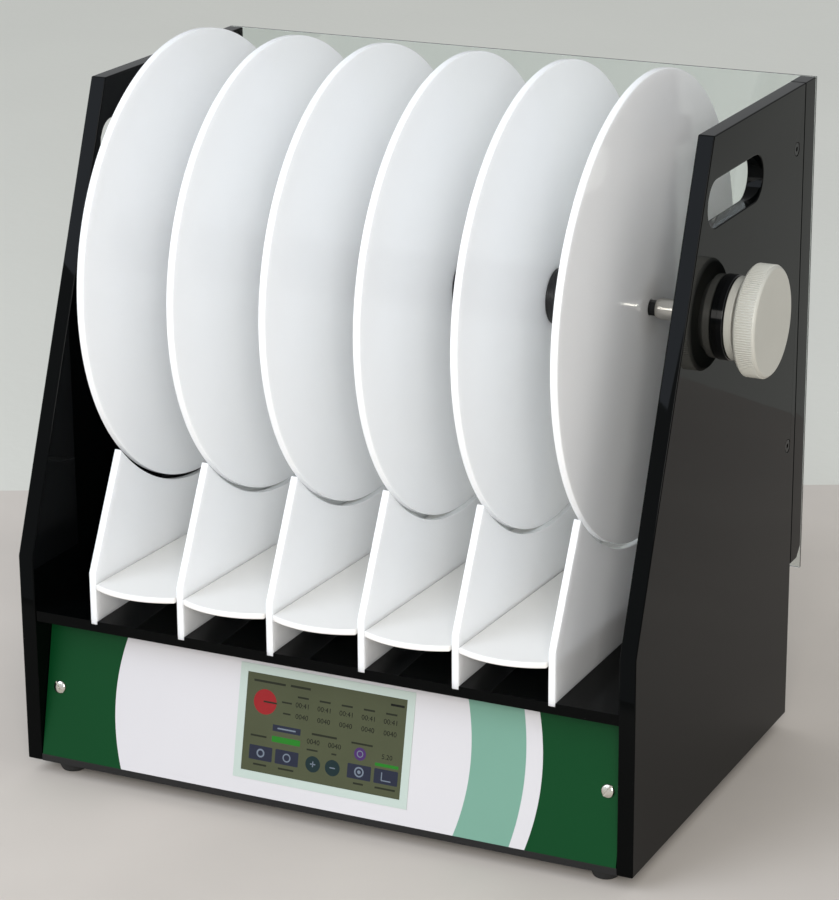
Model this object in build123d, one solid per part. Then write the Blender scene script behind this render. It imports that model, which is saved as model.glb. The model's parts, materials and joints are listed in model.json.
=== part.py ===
from build123d import *
import math
import os

# Five-lane rotarod treadmill: a turning rod with lane discs above trip trays, on a box base.
# Millimetres. While it is built, X=0 is the middle of the lanes, Y=0 is the rotor axis and
# Z=0 is the bench; +X is the viewer's right and +Y the back. to_row() moves it to its own frame.

# ---------------------------------------------------------------- driving sizes
LANES = 5
LANE_W = 50.0          # clear width of a lane
WALL_T = 4.0           # lane walls and discs, cut from one sheet
SIDE_BAY = 35.0        # outer lane wall to side panel; the left bay holds the belt
PANEL_T = 9.0          # side panels

DISC_R = 125.0
ROD_R = 15.0
ARC_GAP = 2.5          # disc rim to the curved top of the wall under it
WALL_LOW = 48.9        # wall height above the deck, straight below the axis

FRONT_CLEAR = 0.3      # disc rim behind the front edge of the side panels
SCREEN_GAP = 1.5       # disc rim to the clear rear sheet
BAR_D = 16.3           # depth of the bars that carry the rear sheet
BAR_GAP = 0.5          # side panel to bar
SHEET_T = 2.0

FOOT_H = 8.0
BASE_T = 4.0
BAY_H = 78.8           # clear height of the base bay
DECK_T = 6.0
DECK_SETBACK = 1.0     # deck and wall fronts behind the side panels' front edge
GROOVE_D = 2.0         # walls sit this deep in the deck

KINK_H = 120.0         # side panel: height of the upright part of its front edge
SLOPE_SETBACK = 95.5   # and how far the slope above it leans back
PANEL_RISE = 101.8     # side panel top above the axis
HANDLE_L = 82.0        # hand slot, end to end
HANDLE_H = 25.0
HANDLE_DROP = 35.8     # panel top to the slot's middle
HANDLE_EDGE = 6.5      # slot end to the sloping front edge
EDGE_BREAK = 0.5       # polished edges

WALL_KINK_H = 27.7     # lane wall: upright part of its front edge, above the deck
WALL_LEAN = 27.4       # degrees that the rest leans back
WALL_REAR_GAP = 3.7    # wall rear edge before the panels' rear edge

TRAY_CLEAR = 0.5       # tray to wall, each side
TRAY_T = 3.3
TRAY_LIP = 6.5         # middle of the curved lip in front of the side panels
LIP_SAG = 6.5          # lip middle in front of its corners
HINGE_IN = 21.7        # tray hinge in front of the panels' rear edge
HINGE_RISE = 9.5       # and above the deck
TRAY_OVER = 5.1        # tray's top face above its hinge
TRAY_SLOPE = 2.0       # degrees, front end high
TRAY_TRIP = 2.6        # degrees that the tray falls when tripped
TRAY_TAIL = 18.0
BARREL_R = 4.2
HINGE_R = 2.0
RUN_CLEAR = 0.05       # radial clearance of every turning fit
PART_CLEAR = 0.3       # faces of different moving bodies
MAGNET_R = 4.0
MAGNET_T = 3.0
MAGNET_BACK = 12.0     # magnet centre behind the hinge
STOP_AHEAD = 148.0     # rubber stop in front of the hinge
STOP_R = 4.0

PLATE_TILT = 12.2      # degrees that the control panel leans back
PLATE_FOOT = 0.2       # its bottom edge behind the side panels' front edge
PLATE_T = 3.0
OVERLAY_T = 0.4
PLATE_SIDE_GAP = 0.5
SCREEN_W = 95.0        # 4.3-inch display, visible area
SCREEN_H = 53.9
SCREEN_UP = 40.4       # display centre, up the slope
BEZEL_W = 104.0
BEZEL_H = 63.0
BEZEL_PROUD = 0.3
GLASS_TOP = 0.1
MODULE_W = 105.5
MODULE_H = 67.2
MODULE_T = 4.0
FACE_SCREW_IN = 8.5    # panel screws from the side panels' inner faces
FACE_SCREW_UP = 39.3
FACE_SCREW_R = 3.7
FACE_SCREW_TOP = 1.4
FACE_SLOT_W = 1.0
FACE_SLOT_Z = 0.6      # slot's floor above the film
FACE_BLOCK = 12.0      # threaded blocks behind the panel, square
FACE_BLOCK_T = 10.0
FACE_THREAD = 6.0
DRIVER_T = 1.6         # display's driver board, and what is on it: place, size and thickness
DRIVER_PARTS = [(0, 0, 14.0, 14.0, 1.4), (-34.0, 16.0, 18.0, 6.0, 5.4), (34.0, -16.0, 12.0, 9.0, 2.4)]

CORE_R = 8.0
TIP_R = 4.2            # hex drive tips, across corners / 2
TIP_IN = 13.0          # depth of a tip in the rod
SHAFT_R = 5.7          # bright shaft of the release knob
SHAFT_END_GAP = 3.0    # its shoulder to the last disc
BUSH_R = 15.0
COLLAR_R = 22.5
COLLAR_T = 3.4
RING_R = 22.0
RING_T = 4.4
NECK_R = 19.0
NECK_T = 3.0
KNOB_R = 29.7
KNOB_T = 12.2
KNOB_EDGE = 1.2

NUT_T = 5.0
SPINDLE_R = 4.0
SPINDLE_END = 3.0      # its left end inside the bearing housing's flange
SEAT_T = 4.0           # bearing housing's flange
PULLEY_GAP = 1.3       # bearing housing to pulley
BEARING_R = 11.0
BEARING_T = 7.0
HOUSING_R = 15.0
HOUSING_FLANGE_R = 24.0
BELT_W = 10.0
BELT_T = 1.5
DRIVEN_R = 24.0
DRIVER_R = 12.0
FLANGE_T = 1.0
FLANGE_UP = 3.0        # pulley flange above the belt seat
MOTOR_RISE = 38.0      # motor axis above the base plate
MOTOR_SHAFT_R = 3.0
GEARBOX_R = 18.5
GEARBOX_L = 26.0
MOTOR_R = 17.5
MOTOR_L = 50.0
MOTOR_BOSS = 3.0
MOTOR_SHAFT_IN = 9.0   # output shaft's length inside the gearbox
BRACKET_T = 3.0
BRACKET_GAP = 4.0      # motor pulley to motor bracket
BRACKET_SIDE = 8.0     # bracket beyond the gearbox, each side
BRACKET_OVER = 4.0
BRACKET_FOOT = 24.0
COVER_T = 2.0
COVER_GAP = 2.0        # pulley flange to the cover's flat side
SLOT_ROUND = 4.0       # belt to the ends of the deck's slot
COVER_CLEAR = 4.0      # belt cover's inside to the pulley flange

FOOT_R = 9.5
FOOT_TIP_R = 6.5
FOOT_EDGE = 1.0
FOOT_IN = 14.5         # foot centre from the panels' front and rear edges
FOOT_X_IN = 11.5       # and from their inner faces

BAR_LOW = 2.2          # bar's lower end above the deck
BAR_CHAMFER = 6.0
SHEET_BELOW = 8.0      # sheet hangs below the bars
BRACKET_LOW = 76.0     # screen brackets above the deck
BRACKET_TOP = 34.0     # and below the panels' top
BRACKET_H = 14.0
BRACKET_W = 8.0
SIDE_SCREW_IN = 11.2   # side screws in front of the panels' rear edge
SIDE_SCREW_R = 3.6

REAR_T = 3.0
VENTS = 9
VENT_PITCH = 8.0
VENT_W = 3.0
VENT_H = 32.0
MODULE_X = 120.0       # power module on the rear cover
MODULE_HALF_W = 14.0
MODULE_HALF_H = 24.0
MODULE_IN = 25.0       # its depth in front of the cover's rear face
MODULE_RIM = 3.0
MODULE_RIM_T = 2.5
SOCKET_BELOW = 9.0     # inlet centre below the module's middle
SOCKET_HALF_W = 12.0
SOCKET_HALF_H = 8.0
SOCKET_IN = 14.0
PIN_PITCH = 7.0
PIN_RISE = 2.0         # middle pin above, outer pins below the inlet's centre
PIN_L = 10.0
PIN_HALF_W = 1.0
PIN_HALF_H = 2.0
ROCKER_ABOVE = 14.0    # rocker centre above the module's middle
ROCKER_HALF_W = 9.7
ROCKER_HALF = 6.75     # half height of the rocker's opening
ROCKER_SIDE = 0.3      # rocker to the opening, each side
ROCKER_IN = 12.0
ROCKER_OUT = 1.0       # rocker's pivot behind the cover
ROCKER_TURN = 8.0      # degrees each side of level
ROCKER_OUTLINE = [(-4, -5), (4, -6), (2.6, 0), (4, 6), (-4, 5)]
USB_X = 70.0
USB_HALF_W = 6.0
USB_HALF_H = 5.5
USB_IN = 16.0
USB_PROUD = 0.8
USB_WALL = 1.5
USB_MOUTH = 9.0
TONGUE_HALF_W = 2.5
TONGUE_HALF_T = 1.5
TONGUE_END = 5.0

BOARD_X = (-45.0, 95.0)
BOARD_Y = (-90.0, -12.0)
BOARD_UP = 8.0         # board above the base plate
BOARD_T = 1.6
POST_IN = 5.0
POST_R = 3.0
CHIP_H = 2.0
CHIPS = [(4.0, -51.0, 18.0), (46.0, -52.0, 12.0)]              # centre and side
CAPACITORS = [(70.0, -78.0), (70.0, -62.0), (70.0, -46.0)]
CAPACITOR_R = 5.0
CAPACITOR_H = 16.0
PLUGS = 5
PLUG_X = -32.0
PLUG_Y = -20.0
PLUG_PITCH = 20.0
PLUG_W = 12.0
PLUG_D = 8.0
PLUG_H = 9.0
SUPPLY_X = (45.0, 150.0)
SUPPLY_L = 62.0
SUPPLY_H = 36.0
SUPPLY_GAP = 10.7      # power supply to the power module
SUPPLY_EDGE = 1.5
TERMINAL_D = 7.0
TERMINAL_IN = 8.0
TERMINAL_UP = 4.0
TERMINAL_H = 14.0

# ---------------------------------------------------------------- derived places
PITCH = LANE_W + WALL_T
WALL_X = [(i - LANES / 2) * PITCH for i in range(LANES + 1)]
LANE_X = [(WALL_X[i] + WALL_X[i + 1]) / 2 for i in range(LANES)]
STACK = WALL_X[-1] + WALL_T / 2          # outer faces of the disc stack
INNER = STACK + SIDE_BAY                 # inner faces of the side panels
OUTER = INNER + PANEL_T
FRONT = -(DISC_R + FRONT_CLEAR)
SHEET_Y = DISC_R + SCREEN_GAP
REAR = SHEET_Y - BAR_D - BAR_GAP
BASE_Z = FOOT_H + BASE_T
DECK_Z0 = BASE_Z + BAY_H
DECK_Z = DECK_Z0 + DECK_T
ARC_R = DISC_R + ARC_GAP
AXIS_Z = DECK_Z + WALL_LOW + ARC_R
PANEL_TOP = AXIS_Z + PANEL_RISE
KINK_Z = FOOT_H + KINK_H
HINGE_Y = REAR - HINGE_IN
HINGE_Z = DECK_Z + HINGE_RISE
TRAY_UNDER = TRAY_OVER - TRAY_T
SLOPE = math.radians(TRAY_SLOPE)
TRAY_REACH = (HINGE_Y - FRONT + TRAY_LIP + TRAY_UNDER * math.sin(SLOPE)) / math.cos(SLOPE)
COLLAR_X = OUTER + COLLAR_T
KNOB_X = COLLAR_X + PART_CLEAR + RING_T + NECK_T
KNOB_FACE = KNOB_X + KNOB_T
MOTOR_Z = BASE_Z + MOTOR_RISE
SEAT_END = -INNER + SEAT_T + BEARING_T   # bearing housing's right end
PULLEY_HALF = BELT_W / 2 + RUN_CLEAR * 4
BELT_X = SEAT_END + PULLEY_GAP + FLANGE_T + PULLEY_HALF  # middle plane of the belt
PULLEY_END = BELT_X + PULLEY_HALF + FLANGE_T
COVER_X = BELT_X + BELT_W / 2 + FLANGE_T + COVER_GAP + COVER_T
MOTOR_X = BELT_X + BELT_W / 2 + FLANGE_T + BRACKET_GAP + BRACKET_T
RATIO = DRIVEN_R / DRIVER_R
FACE_SCREW_X = INNER - FACE_SCREW_IN
BACK_OF_PLATE = -OVERLAY_T - PLATE_T
MODULE_MIDDLE = (BASE_Z + DECK_Z0) / 2
SOCKET_Z = MODULE_MIDDLE - SOCKET_BELOW
ROCKER_Y = REAR + ROCKER_OUT
ROCKER_Z = MODULE_MIDDLE + ROCKER_ABOVE

ROW_X = (KNOB_FACE - OUTER) / 2          # middle of the whole width
ROW_Y = (SHEET_Y + SHEET_T + FRONT - TRAY_LIP) / 2

TILT = math.radians(PLATE_TILT)
FACE = Plane(
    origin=(0, FRONT + PLATE_FOOT, BASE_Z),
    x_dir=(1, 0, 0),
    z_dir=(0, -math.cos(TILT), math.sin(TILT)),
)
AXIS_PLANE = Plane(origin=(0, 0, AXIS_Z), x_dir=(0, 1, 0), z_dir=(1, 0, 0))
MOTOR_PLANE = Plane(origin=(0, 0, MOTOR_Z), x_dir=(0, 1, 0), z_dir=(1, 0, 0))


# ---------------------------------------------------------------- helpers
ON_END = (Align.CENTER, Align.CENTER, Align.MIN)


def block(x0, x1, y0, y1, z0, z1):
    """Box between two corners."""
    centre = Pos((x0 + x1) / 2, (y0 + y1) / 2, (z0 + z1) / 2)
    return centre * Box(x1 - x0, y1 - y0, z1 - z0)


def side_profile(points):
    """Closed face in the YZ plane."""
    return make_face(Polyline([(0, y, z) for y, z in points], close=True))


def along_x(face, x0, x1):
    """Extrudes a YZ face from x0 to x1."""
    return Pos(x0, 0, 0) * extrude(face, amount=x1 - x0, dir=(1, 0, 0))


def bar_x(radius, x0, x1, plane=AXIS_PLANE):
    """Round bar along X about the rotor axis, or about another axis plane's."""
    return plane * Pos(0, 0, x0) * Cylinder(radius, x1 - x0, align=ON_END)


def hex_x(radius, x0, x1):
    """Hexagonal bar along the rotor axis."""
    return AXIS_PLANE * Pos(0, 0, x0) * extrude(RegularPolygon(radius, 6), amount=x1 - x0)


def upright(radius, x, y, z0, z1):
    """Round post between two heights."""
    return Pos(x, y, z0) * Cylinder(radius, z1 - z0, align=ON_END)


def on_face(x, up, width, height, n0, n1):
    """Box on the control panel: x and up the slope, from depth n0 to n1 along its outward normal."""
    return FACE * Pos(x, up, (n0 + n1) / 2) * Box(width, height, n1 - n0)


def face_bar(x, up, radius, n0, n1):
    """Round bar square to the control panel."""
    return FACE * Pos(x, up, n0) * Cylinder(radius, n1 - n0, align=ON_END)


def slope_y(z):
    """Y of the side panels' sloping front edge at height z."""
    return FRONT + SLOPE_SETBACK * (z - KINK_Z) / (PANEL_TOP - KINK_Z)


# ---------------------------------------------------------------- frame
def side_panel(side):
    """Upright end panel with its hand slot; side is -1 for the left one and +1 for the right one."""
    outline = side_profile(
        [
            (FRONT, FOOT_H),
            (FRONT, KINK_Z),
            (FRONT + SLOPE_SETBACK, PANEL_TOP),
            (REAR, PANEL_TOP),
            (REAR, FOOT_H),
        ]
    )
    x0 = INNER if side > 0 else -OUTER
    panel = along_x(outline, x0, x0 + PANEL_T)
    rims = panel.faces().sort_by(Axis.X)
    panel = chamfer(rims[0].edges() + rims[-1].edges(), EDGE_BREAK)
    slot_z = PANEL_TOP - HANDLE_DROP
    slot_y = slope_y(slot_z) + HANDLE_EDGE + HANDLE_L / 2
    slot_plane = Plane(origin=(x0 - 1, slot_y, slot_z), x_dir=(0, 1, 0), z_dir=(1, 0, 0))
    panel -= extrude(slot_plane * SlotOverall(HANDLE_L, HANDLE_H), amount=PANEL_T + 2)
    for z in bracket_heights():
        panel -= side_screw(side, z)
    if side > 0:
        panel -= bar_x(BUSH_R, INNER, OUTER)
    return panel


def bracket_heights():
    """Middle heights of the screen brackets, lower then upper."""
    return (DECK_Z + BRACKET_LOW, PANEL_TOP - BRACKET_TOP)


def side_screw(side, z):
    """Flat-head screw from outside the panel into a screen bracket."""
    y = REAR - SIDE_SCREW_IN
    length = PANEL_T + BRACKET_W / 2
    head = Cone(SIDE_SCREW_R, SIDE_SCREW_R / 2, SIDE_SCREW_R / 2, align=ON_END)
    shank = Cylinder(SIDE_SCREW_R / 2, length, align=ON_END)
    turn = Rot(Y=-90) if side > 0 else Rot(Y=90)
    return Pos(side * OUTER, y, z) * turn * (head + shank)


def side_screws():
    """Two black flat-head screws in each side panel, with hexagon sockets."""
    screws = []
    for side in (-1, 1):
        for z in bracket_heights():
            socket = Rot(Y=90) * extrude(RegularPolygon(SIDE_SCREW_R / 3, 6), amount=2, both=True)
            screws.append(side_screw(side, z) - Pos(side * OUTER, REAR - SIDE_SCREW_IN, z) * socket)
    return screws


def base_plate():
    """Floor of the base bay; its front edge shows as a strip below the control panel."""
    return block(-INNER, INNER, FRONT + PLATE_FOOT, REAR, FOOT_H, BASE_Z)


def feet():
    """Four tapered rubber feet under the base plate."""
    foot = Cone(FOOT_TIP_R, FOOT_R, FOOT_H, align=ON_END)
    foot = fillet(foot.edges().sort_by(Axis.Z)[0], FOOT_EDGE)
    x = INNER - FOOT_X_IN
    places = [(sx * x, y) for sx in (-1, 1) for y in (FRONT + FOOT_IN, REAR - FOOT_IN)]
    return [Pos(px, py, 0) * foot for px, py in places]


def deck_shelf():
    """Black shelf over the base bay, grooved for the lane walls, with a slot for the belt."""
    deck = block(-INNER, INNER, FRONT + DECK_SETBACK, REAR, DECK_Z0, DECK_Z)
    for x in WALL_X:
        deck -= block(x - WALL_T / 2, x + WALL_T / 2, FRONT, REAR - WALL_REAR_GAP, DECK_Z - GROOVE_D, DECK_Z)
    reach = BELT_W / 2 + FLANGE_T + COVER_GAP
    half = DRIVER_R + (DRIVEN_R - DRIVER_R) * (DECK_Z - MOTOR_Z) / (AXIS_Z - MOTOR_Z)
    half += BELT_T + SLOT_ROUND
    return deck - block(BELT_X - reach, BELT_X + reach, -half, half, DECK_Z0, DECK_Z)


def lane_wall():
    """Lane divider: upright front, slope, then a curved top that follows the disc above it."""
    y0 = FRONT + DECK_SETBACK
    y1 = REAR - WALL_REAR_GAP
    kink = DECK_Z + WALL_KINK_H
    lean = math.radians(WALL_LEAN)
    # where the slope from (y0, kink) meets the arc about the axis
    along = -y0 * math.sin(lean) + (AXIS_Z - kink) * math.cos(lean)
    apart = y0**2 + (AXIS_Z - kink) ** 2 - ARC_R**2
    run = along - math.sqrt(along**2 - apart)
    corner = (0, y0 + run * math.sin(lean), kink + run * math.cos(lean))
    rear = (0, y1, AXIS_Z - math.sqrt(ARC_R**2 - y1**2))
    foot = DECK_Z - GROOVE_D
    edges = [
        Line((0, y0, foot), (0, y0, kink)),
        Line((0, y0, kink), corner),
        ThreePointArc(corner, (0, 0, AXIS_Z - ARC_R), rear),
        Line(rear, (0, y1, foot)),
        Line((0, y1, foot), (0, y0, foot)),
    ]
    wall = along_x(make_face(edges), -WALL_T / 2, WALL_T / 2)
    return wall - tray_hinge_rod()


def rear_cover():
    """Rear wall of the base bay, with cut-outs for the sockets and a row of vents."""
    cover = block(-INNER, INNER, REAR - REAR_T, REAR, BASE_Z, DECK_Z0)
    cover -= block(*power_cutout())
    cover -= block(*usb_cutout())
    low = MODULE_MIDDLE - VENT_H / 2
    for i in range(VENTS):
        x = -INNER / 2 + (i - (VENTS - 1) / 2) * VENT_PITCH
        cover -= block(x - VENT_W / 2, x + VENT_W / 2, REAR - REAR_T, REAR, low, low + VENT_H)
    return cover


def screen_bars():
    """Two black upright bars behind the side panels, chamfered at their lower rear corners."""
    z0 = DECK_Z + BAR_LOW
    y0 = REAR + BAR_GAP
    outline = side_profile(
        [
            (y0, z0),
            (y0, PANEL_TOP),
            (SHEET_Y, PANEL_TOP),
            (SHEET_Y, z0 + BAR_CHAMFER),
            (SHEET_Y - BAR_CHAMFER, z0),
        ]
    )
    return [along_x(outline, x0, x0 + PANEL_T) for x0 in (-OUTER, INNER)]


def screen_sheet():
    """Clear sheet across the back, glued to the bars."""
    z0 = DECK_Z + BAR_LOW - SHEET_BELOW
    return block(-OUTER, OUTER, SHEET_Y, SHEET_Y + SHEET_T, z0, PANEL_TOP)


def screen_blocks():
    """Four blocks inside the side panels that tie the bars to them."""
    blocks = []
    for side in (-1, 1):
        x0 = INNER - BRACKET_W if side > 0 else -INNER
        for z in bracket_heights():
            z0 = z - BRACKET_H / 2
            body = block(x0, x0 + BRACKET_W, REAR - 2 * SIDE_SCREW_IN, SHEET_Y, z0, z0 + BRACKET_H)
            blocks.append(body - side_screw(side, z))
    return blocks


# ---------------------------------------------------------------- control panel
def tilted_sheet(depth, thickness):
    """Sheet parallel to the control panel's face, from the base plate to the deck, depth behind it."""
    y = FRONT + PLATE_FOOT + depth / math.cos(TILT)
    lean = (DECK_Z0 - BASE_Z) * math.tan(TILT)
    step = thickness / math.cos(TILT)
    outline = side_profile([(y, BASE_Z), (y + lean, DECK_Z0), (y + lean + step, DECK_Z0), (y + step, BASE_Z)])
    return along_x(outline, -INNER + PLATE_SIDE_GAP, INNER - PLATE_SIDE_GAP)


def front_plate():
    """Sloping front plate behind the printed overlay, with the display window."""
    plate = tilted_sheet(OVERLAY_T, PLATE_T)
    plate -= on_face(0, SCREEN_UP, SCREEN_W + 1, SCREEN_H + 1, -OVERLAY_T - 2 * PLATE_T, 1)
    for side in (-1, 1):
        plate -= face_bar(side * FACE_SCREW_X, FACE_SCREW_UP, FACE_SCREW_R / 2, -12, 1)
    return plate


def front_overlay():
    """Printed film over the plate, cut round the display frame and the two screws."""
    film = tilted_sheet(0, OVERLAY_T)
    film -= on_face(0, SCREEN_UP, BEZEL_W, BEZEL_H, -4, 2)
    for side in (-1, 1):
        film -= face_bar(side * FACE_SCREW_X, FACE_SCREW_UP, FACE_SCREW_R, -4, 2)
    return film


def display_frame():
    """Pale frame round the display, lying on the plate."""
    frame = on_face(0, SCREEN_UP, BEZEL_W, BEZEL_H, -OVERLAY_T, BEZEL_PROUD)
    return frame - on_face(0, SCREEN_UP, SCREEN_W, SCREEN_H, -4, 2)


def touch_glass():
    """Touch glass in the plate's window, slightly below the frame."""
    return on_face(0, SCREEN_UP, SCREEN_W, SCREEN_H, BACK_OF_PLATE, GLASS_TOP)


def display_module():
    """Display panel behind the plate, with its driver board, connector and chips."""
    back = BACK_OF_PLATE - MODULE_T
    panel = on_face(0, SCREEN_UP, MODULE_W, MODULE_H, back, BACK_OF_PLATE)
    board = on_face(0, SCREEN_UP, MODULE_W, MODULE_H, back - DRIVER_T, back)
    for x, up, width, height, thickness in DRIVER_PARTS:
        top = back - DRIVER_T
        board += on_face(x, SCREEN_UP + up, width, height, top - thickness, top)
    return [panel, board]


def face_blocks():
    """Two threaded blocks inside the side panels that the control panel is screwed to."""
    back = BACK_OF_PLATE
    blocks = []
    for side in (-1, 1):
        x = side * FACE_SCREW_X
        inside = FACE_SCREW_X - FACE_BLOCK / 2
        middle = side * (inside + INNER) / 2
        body = on_face(middle, FACE_SCREW_UP, INNER - inside, FACE_BLOCK, back - FACE_BLOCK_T, back)
        blocks.append(body - face_bar(x, FACE_SCREW_UP, FACE_SCREW_R / 2, back - FACE_THREAD, back))
    return blocks


def face_screws():
    """Bright slotted screws that hold the control panel."""
    screws = []
    for side in (-1, 1):
        x = side * FACE_SCREW_X
        head = face_bar(x, FACE_SCREW_UP, FACE_SCREW_R, -OVERLAY_T, FACE_SCREW_TOP)
        head = fillet(head.edges().group_by(Axis.Y)[0], FACE_SCREW_TOP / 2)
        end = BACK_OF_PLATE - FACE_THREAD
        screw = head + face_bar(x, FACE_SCREW_UP, FACE_SCREW_R / 2, end, -OVERLAY_T)
        slot = on_face(x, FACE_SCREW_UP, 3 * FACE_SCREW_R, FACE_SLOT_W, FACE_SLOT_Z, FACE_SCREW_TOP)
        screws.append(screw - slot)
    return screws


# ---------------------------------------------------------------- rotor
def disc(index):
    """Lane disc; the two outer ones close the rod's ends round the drive tips."""
    x = WALL_X[index] - WALL_T / 2
    end = index in (0, LANES)
    body = bar_x(DISC_R, x, x + WALL_T)
    body = chamfer(body.edges().filter_by(GeomType.CIRCLE), EDGE_BREAK / 2)
    return body - bar_x(TIP_R + PART_CLEAR if end else CORE_R, x, x + WALL_T)


def rod_sleeve(index):
    """Black ribbed sleeve of one lane."""
    x0 = WALL_X[index] + WALL_T / 2
    return bar_x(ROD_R, x0, x0 + LANE_W) - bar_x(CORE_R, x0, x0 + LANE_W)


def rod_core():
    """Core bar inside the sleeves and the inner discs, with a hexagon socket in each end."""
    end = STACK - WALL_T
    core = bar_x(CORE_R, -end, end)
    socket = TIP_IN + 1.0
    core -= hex_x(TIP_R + RUN_CLEAR, -end, -end + socket)
    return core - hex_x(TIP_R + RUN_CLEAR, end - socket, end)


def drive_spindle():
    """Left spindle: bearing seat, pulley seat, shoulder and hexagon tip."""
    shoulder = -STACK - PART_CLEAR
    spindle = bar_x(SPINDLE_R, -INNER + SPINDLE_END, PULLEY_END)
    spindle += bar_x(2 * SPINDLE_R, PULLEY_END, shoulder)
    return spindle + hex_x(TIP_R, shoulder, -STACK + WALL_T + TIP_IN)


def pulley(radius, bore, plane):
    """Flanged belt pulley."""
    x0 = BELT_X - PULLEY_HALF
    x1 = BELT_X + PULLEY_HALF
    body = bar_x(radius, x0, x1, plane)
    body += bar_x(radius + FLANGE_UP, x0 - FLANGE_T, x0, plane)
    body += bar_x(radius + FLANGE_UP, x1, x1 + FLANGE_T, plane)
    return body - bar_x(bore, x0 - FLANGE_T, x1 + FLANGE_T, plane)


def knob_shaft():
    """Bright shaft that carries the rod's right end."""
    return bar_x(SHAFT_R, STACK + SHAFT_END_GAP, KNOB_X + KNOB_T / 2)


def drive_tip():
    """Black hexagon tip of the knob shaft."""
    return hex_x(TIP_R, STACK - WALL_T - TIP_IN, STACK + SHAFT_END_GAP)


def knob_ring():
    """White ring and neck between the collar and the knob."""
    x0 = COLLAR_X + PART_CLEAR
    ring = bar_x(RING_R, x0, x0 + RING_T)
    ring = chamfer(ring.edges().filter_by(GeomType.CIRCLE), EDGE_BREAK)
    ring += bar_x(NECK_R, x0 + RING_T, KNOB_X)
    return ring - bar_x(SHAFT_R, x0, KNOB_X)


def release_knob():
    """Round knob that pulls the knob shaft out of the rod."""
    knob = bar_x(KNOB_R, KNOB_X, KNOB_FACE)
    knob = chamfer(knob.edges().filter_by(GeomType.CIRCLE), KNOB_EDGE)
    return knob - bar_x(SHAFT_R, KNOB_X, KNOB_X + KNOB_T / 2)


def bearing_bush():
    """Black collar bush of the right panel; the knob shaft turns and slides in it."""
    bush = bar_x(COLLAR_R, OUTER, COLLAR_X)
    bush = chamfer(bush.edges().filter_by(GeomType.CIRCLE).sort_by(Axis.X)[-1], EDGE_BREAK)
    bush += bar_x(BUSH_R, INNER - NUT_T, OUTER)
    return bush - bar_x(SHAFT_R + RUN_CLEAR, INNER - NUT_T, COLLAR_X)


def bush_nut():
    """Nut that clamps the bush to the inside of the right panel."""
    return hex_x(COLLAR_R, INNER - NUT_T, INNER) - bar_x(BUSH_R, INNER - NUT_T, INNER)


# ---------------------------------------------------------------- belt drive
def bearing_housing():
    """Flanged seat of the left ball bearing, on the inside of the left panel."""
    floor = -INNER + SEAT_T
    seat = bar_x(HOUSING_FLANGE_R, -INNER, floor) + bar_x(HOUSING_R, -INNER, SEAT_END)
    seat -= bar_x(BEARING_R, floor, SEAT_END)
    return seat - bar_x(1.5 * SPINDLE_R, -INNER, floor)


def ball_bearing():
    """Left ball bearing, as one ring."""
    x0 = -INNER + SEAT_T
    return bar_x(BEARING_R, x0, SEAT_END) - bar_x(SPINDLE_R + RUN_CLEAR, x0, SEAT_END)


def loop(grow):
    """Outline that wraps both pulleys at a distance outside their belt seats, in the YZ plane."""
    span = AXIS_Z - MOTOR_Z
    big = DRIVEN_R + grow
    small = DRIVER_R + grow
    lean = math.asin((big - small) / span)
    c, s = math.cos(lean), math.sin(lean)
    low = [(0, k * small * c, MOTOR_Z + small * s) for k in (-1, 1)]
    high = [(0, k * big * c, AXIS_Z + big * s) for k in (-1, 1)]
    return make_face(
        [
            ThreePointArc(low[0], (0, 0, MOTOR_Z - small), low[1]),
            Line(low[1], high[1]),
            ThreePointArc(high[1], (0, 0, AXIS_Z + big), high[0]),
            Line(high[0], low[0]),
        ]
    )


def drive_belt():
    """Belt from the motor pulley up to the rotor."""
    x0 = BELT_X - BELT_W / 2
    outer = along_x(loop(PART_CLEAR + BELT_T), x0, x0 + BELT_W)
    return outer - along_x(loop(PART_CLEAR), x0, x0 + BELT_W)


def belt_cover():
    """Arched cover over the belt, from the deck to above the pulley, open towards the panel."""
    reach = DRIVEN_R + FLANGE_UP + COVER_CLEAR

    def arch(radius, top):
        return make_face(
            [
                Line((0, -radius, DECK_Z), (0, -radius, AXIS_Z)),
                ThreePointArc((0, -radius, AXIS_Z), (0, 0, AXIS_Z + top), (0, radius, AXIS_Z)),
                Line((0, radius, AXIS_Z), (0, radius, DECK_Z)),
                Line((0, radius, DECK_Z), (0, -radius, DECK_Z)),
            ]
        )

    cover = along_x(arch(reach + COVER_T, reach + COVER_T), -INNER, COVER_X)
    cover -= along_x(arch(reach, reach), -INNER, COVER_X - COVER_T)
    return cover - bar_x(2 * SPINDLE_R + COVER_T / 2, COVER_X - COVER_T, COVER_X)


def motor_bracket():
    """Folded bracket that holds the motor to the base plate."""
    half = GEARBOX_R + BRACKET_SIDE
    top = MOTOR_Z + GEARBOX_R + BRACKET_OVER
    plate = block(MOTOR_X - BRACKET_T, MOTOR_X, -half, half, BASE_Z, top)
    plate += block(MOTOR_X, MOTOR_X + BRACKET_FOOT, -half, half, BASE_Z, BASE_Z + BRACKET_T)
    return plate - bar_x(2.5 * MOTOR_SHAFT_R, MOTOR_X - BRACKET_T, MOTOR_X, MOTOR_PLANE)


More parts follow.
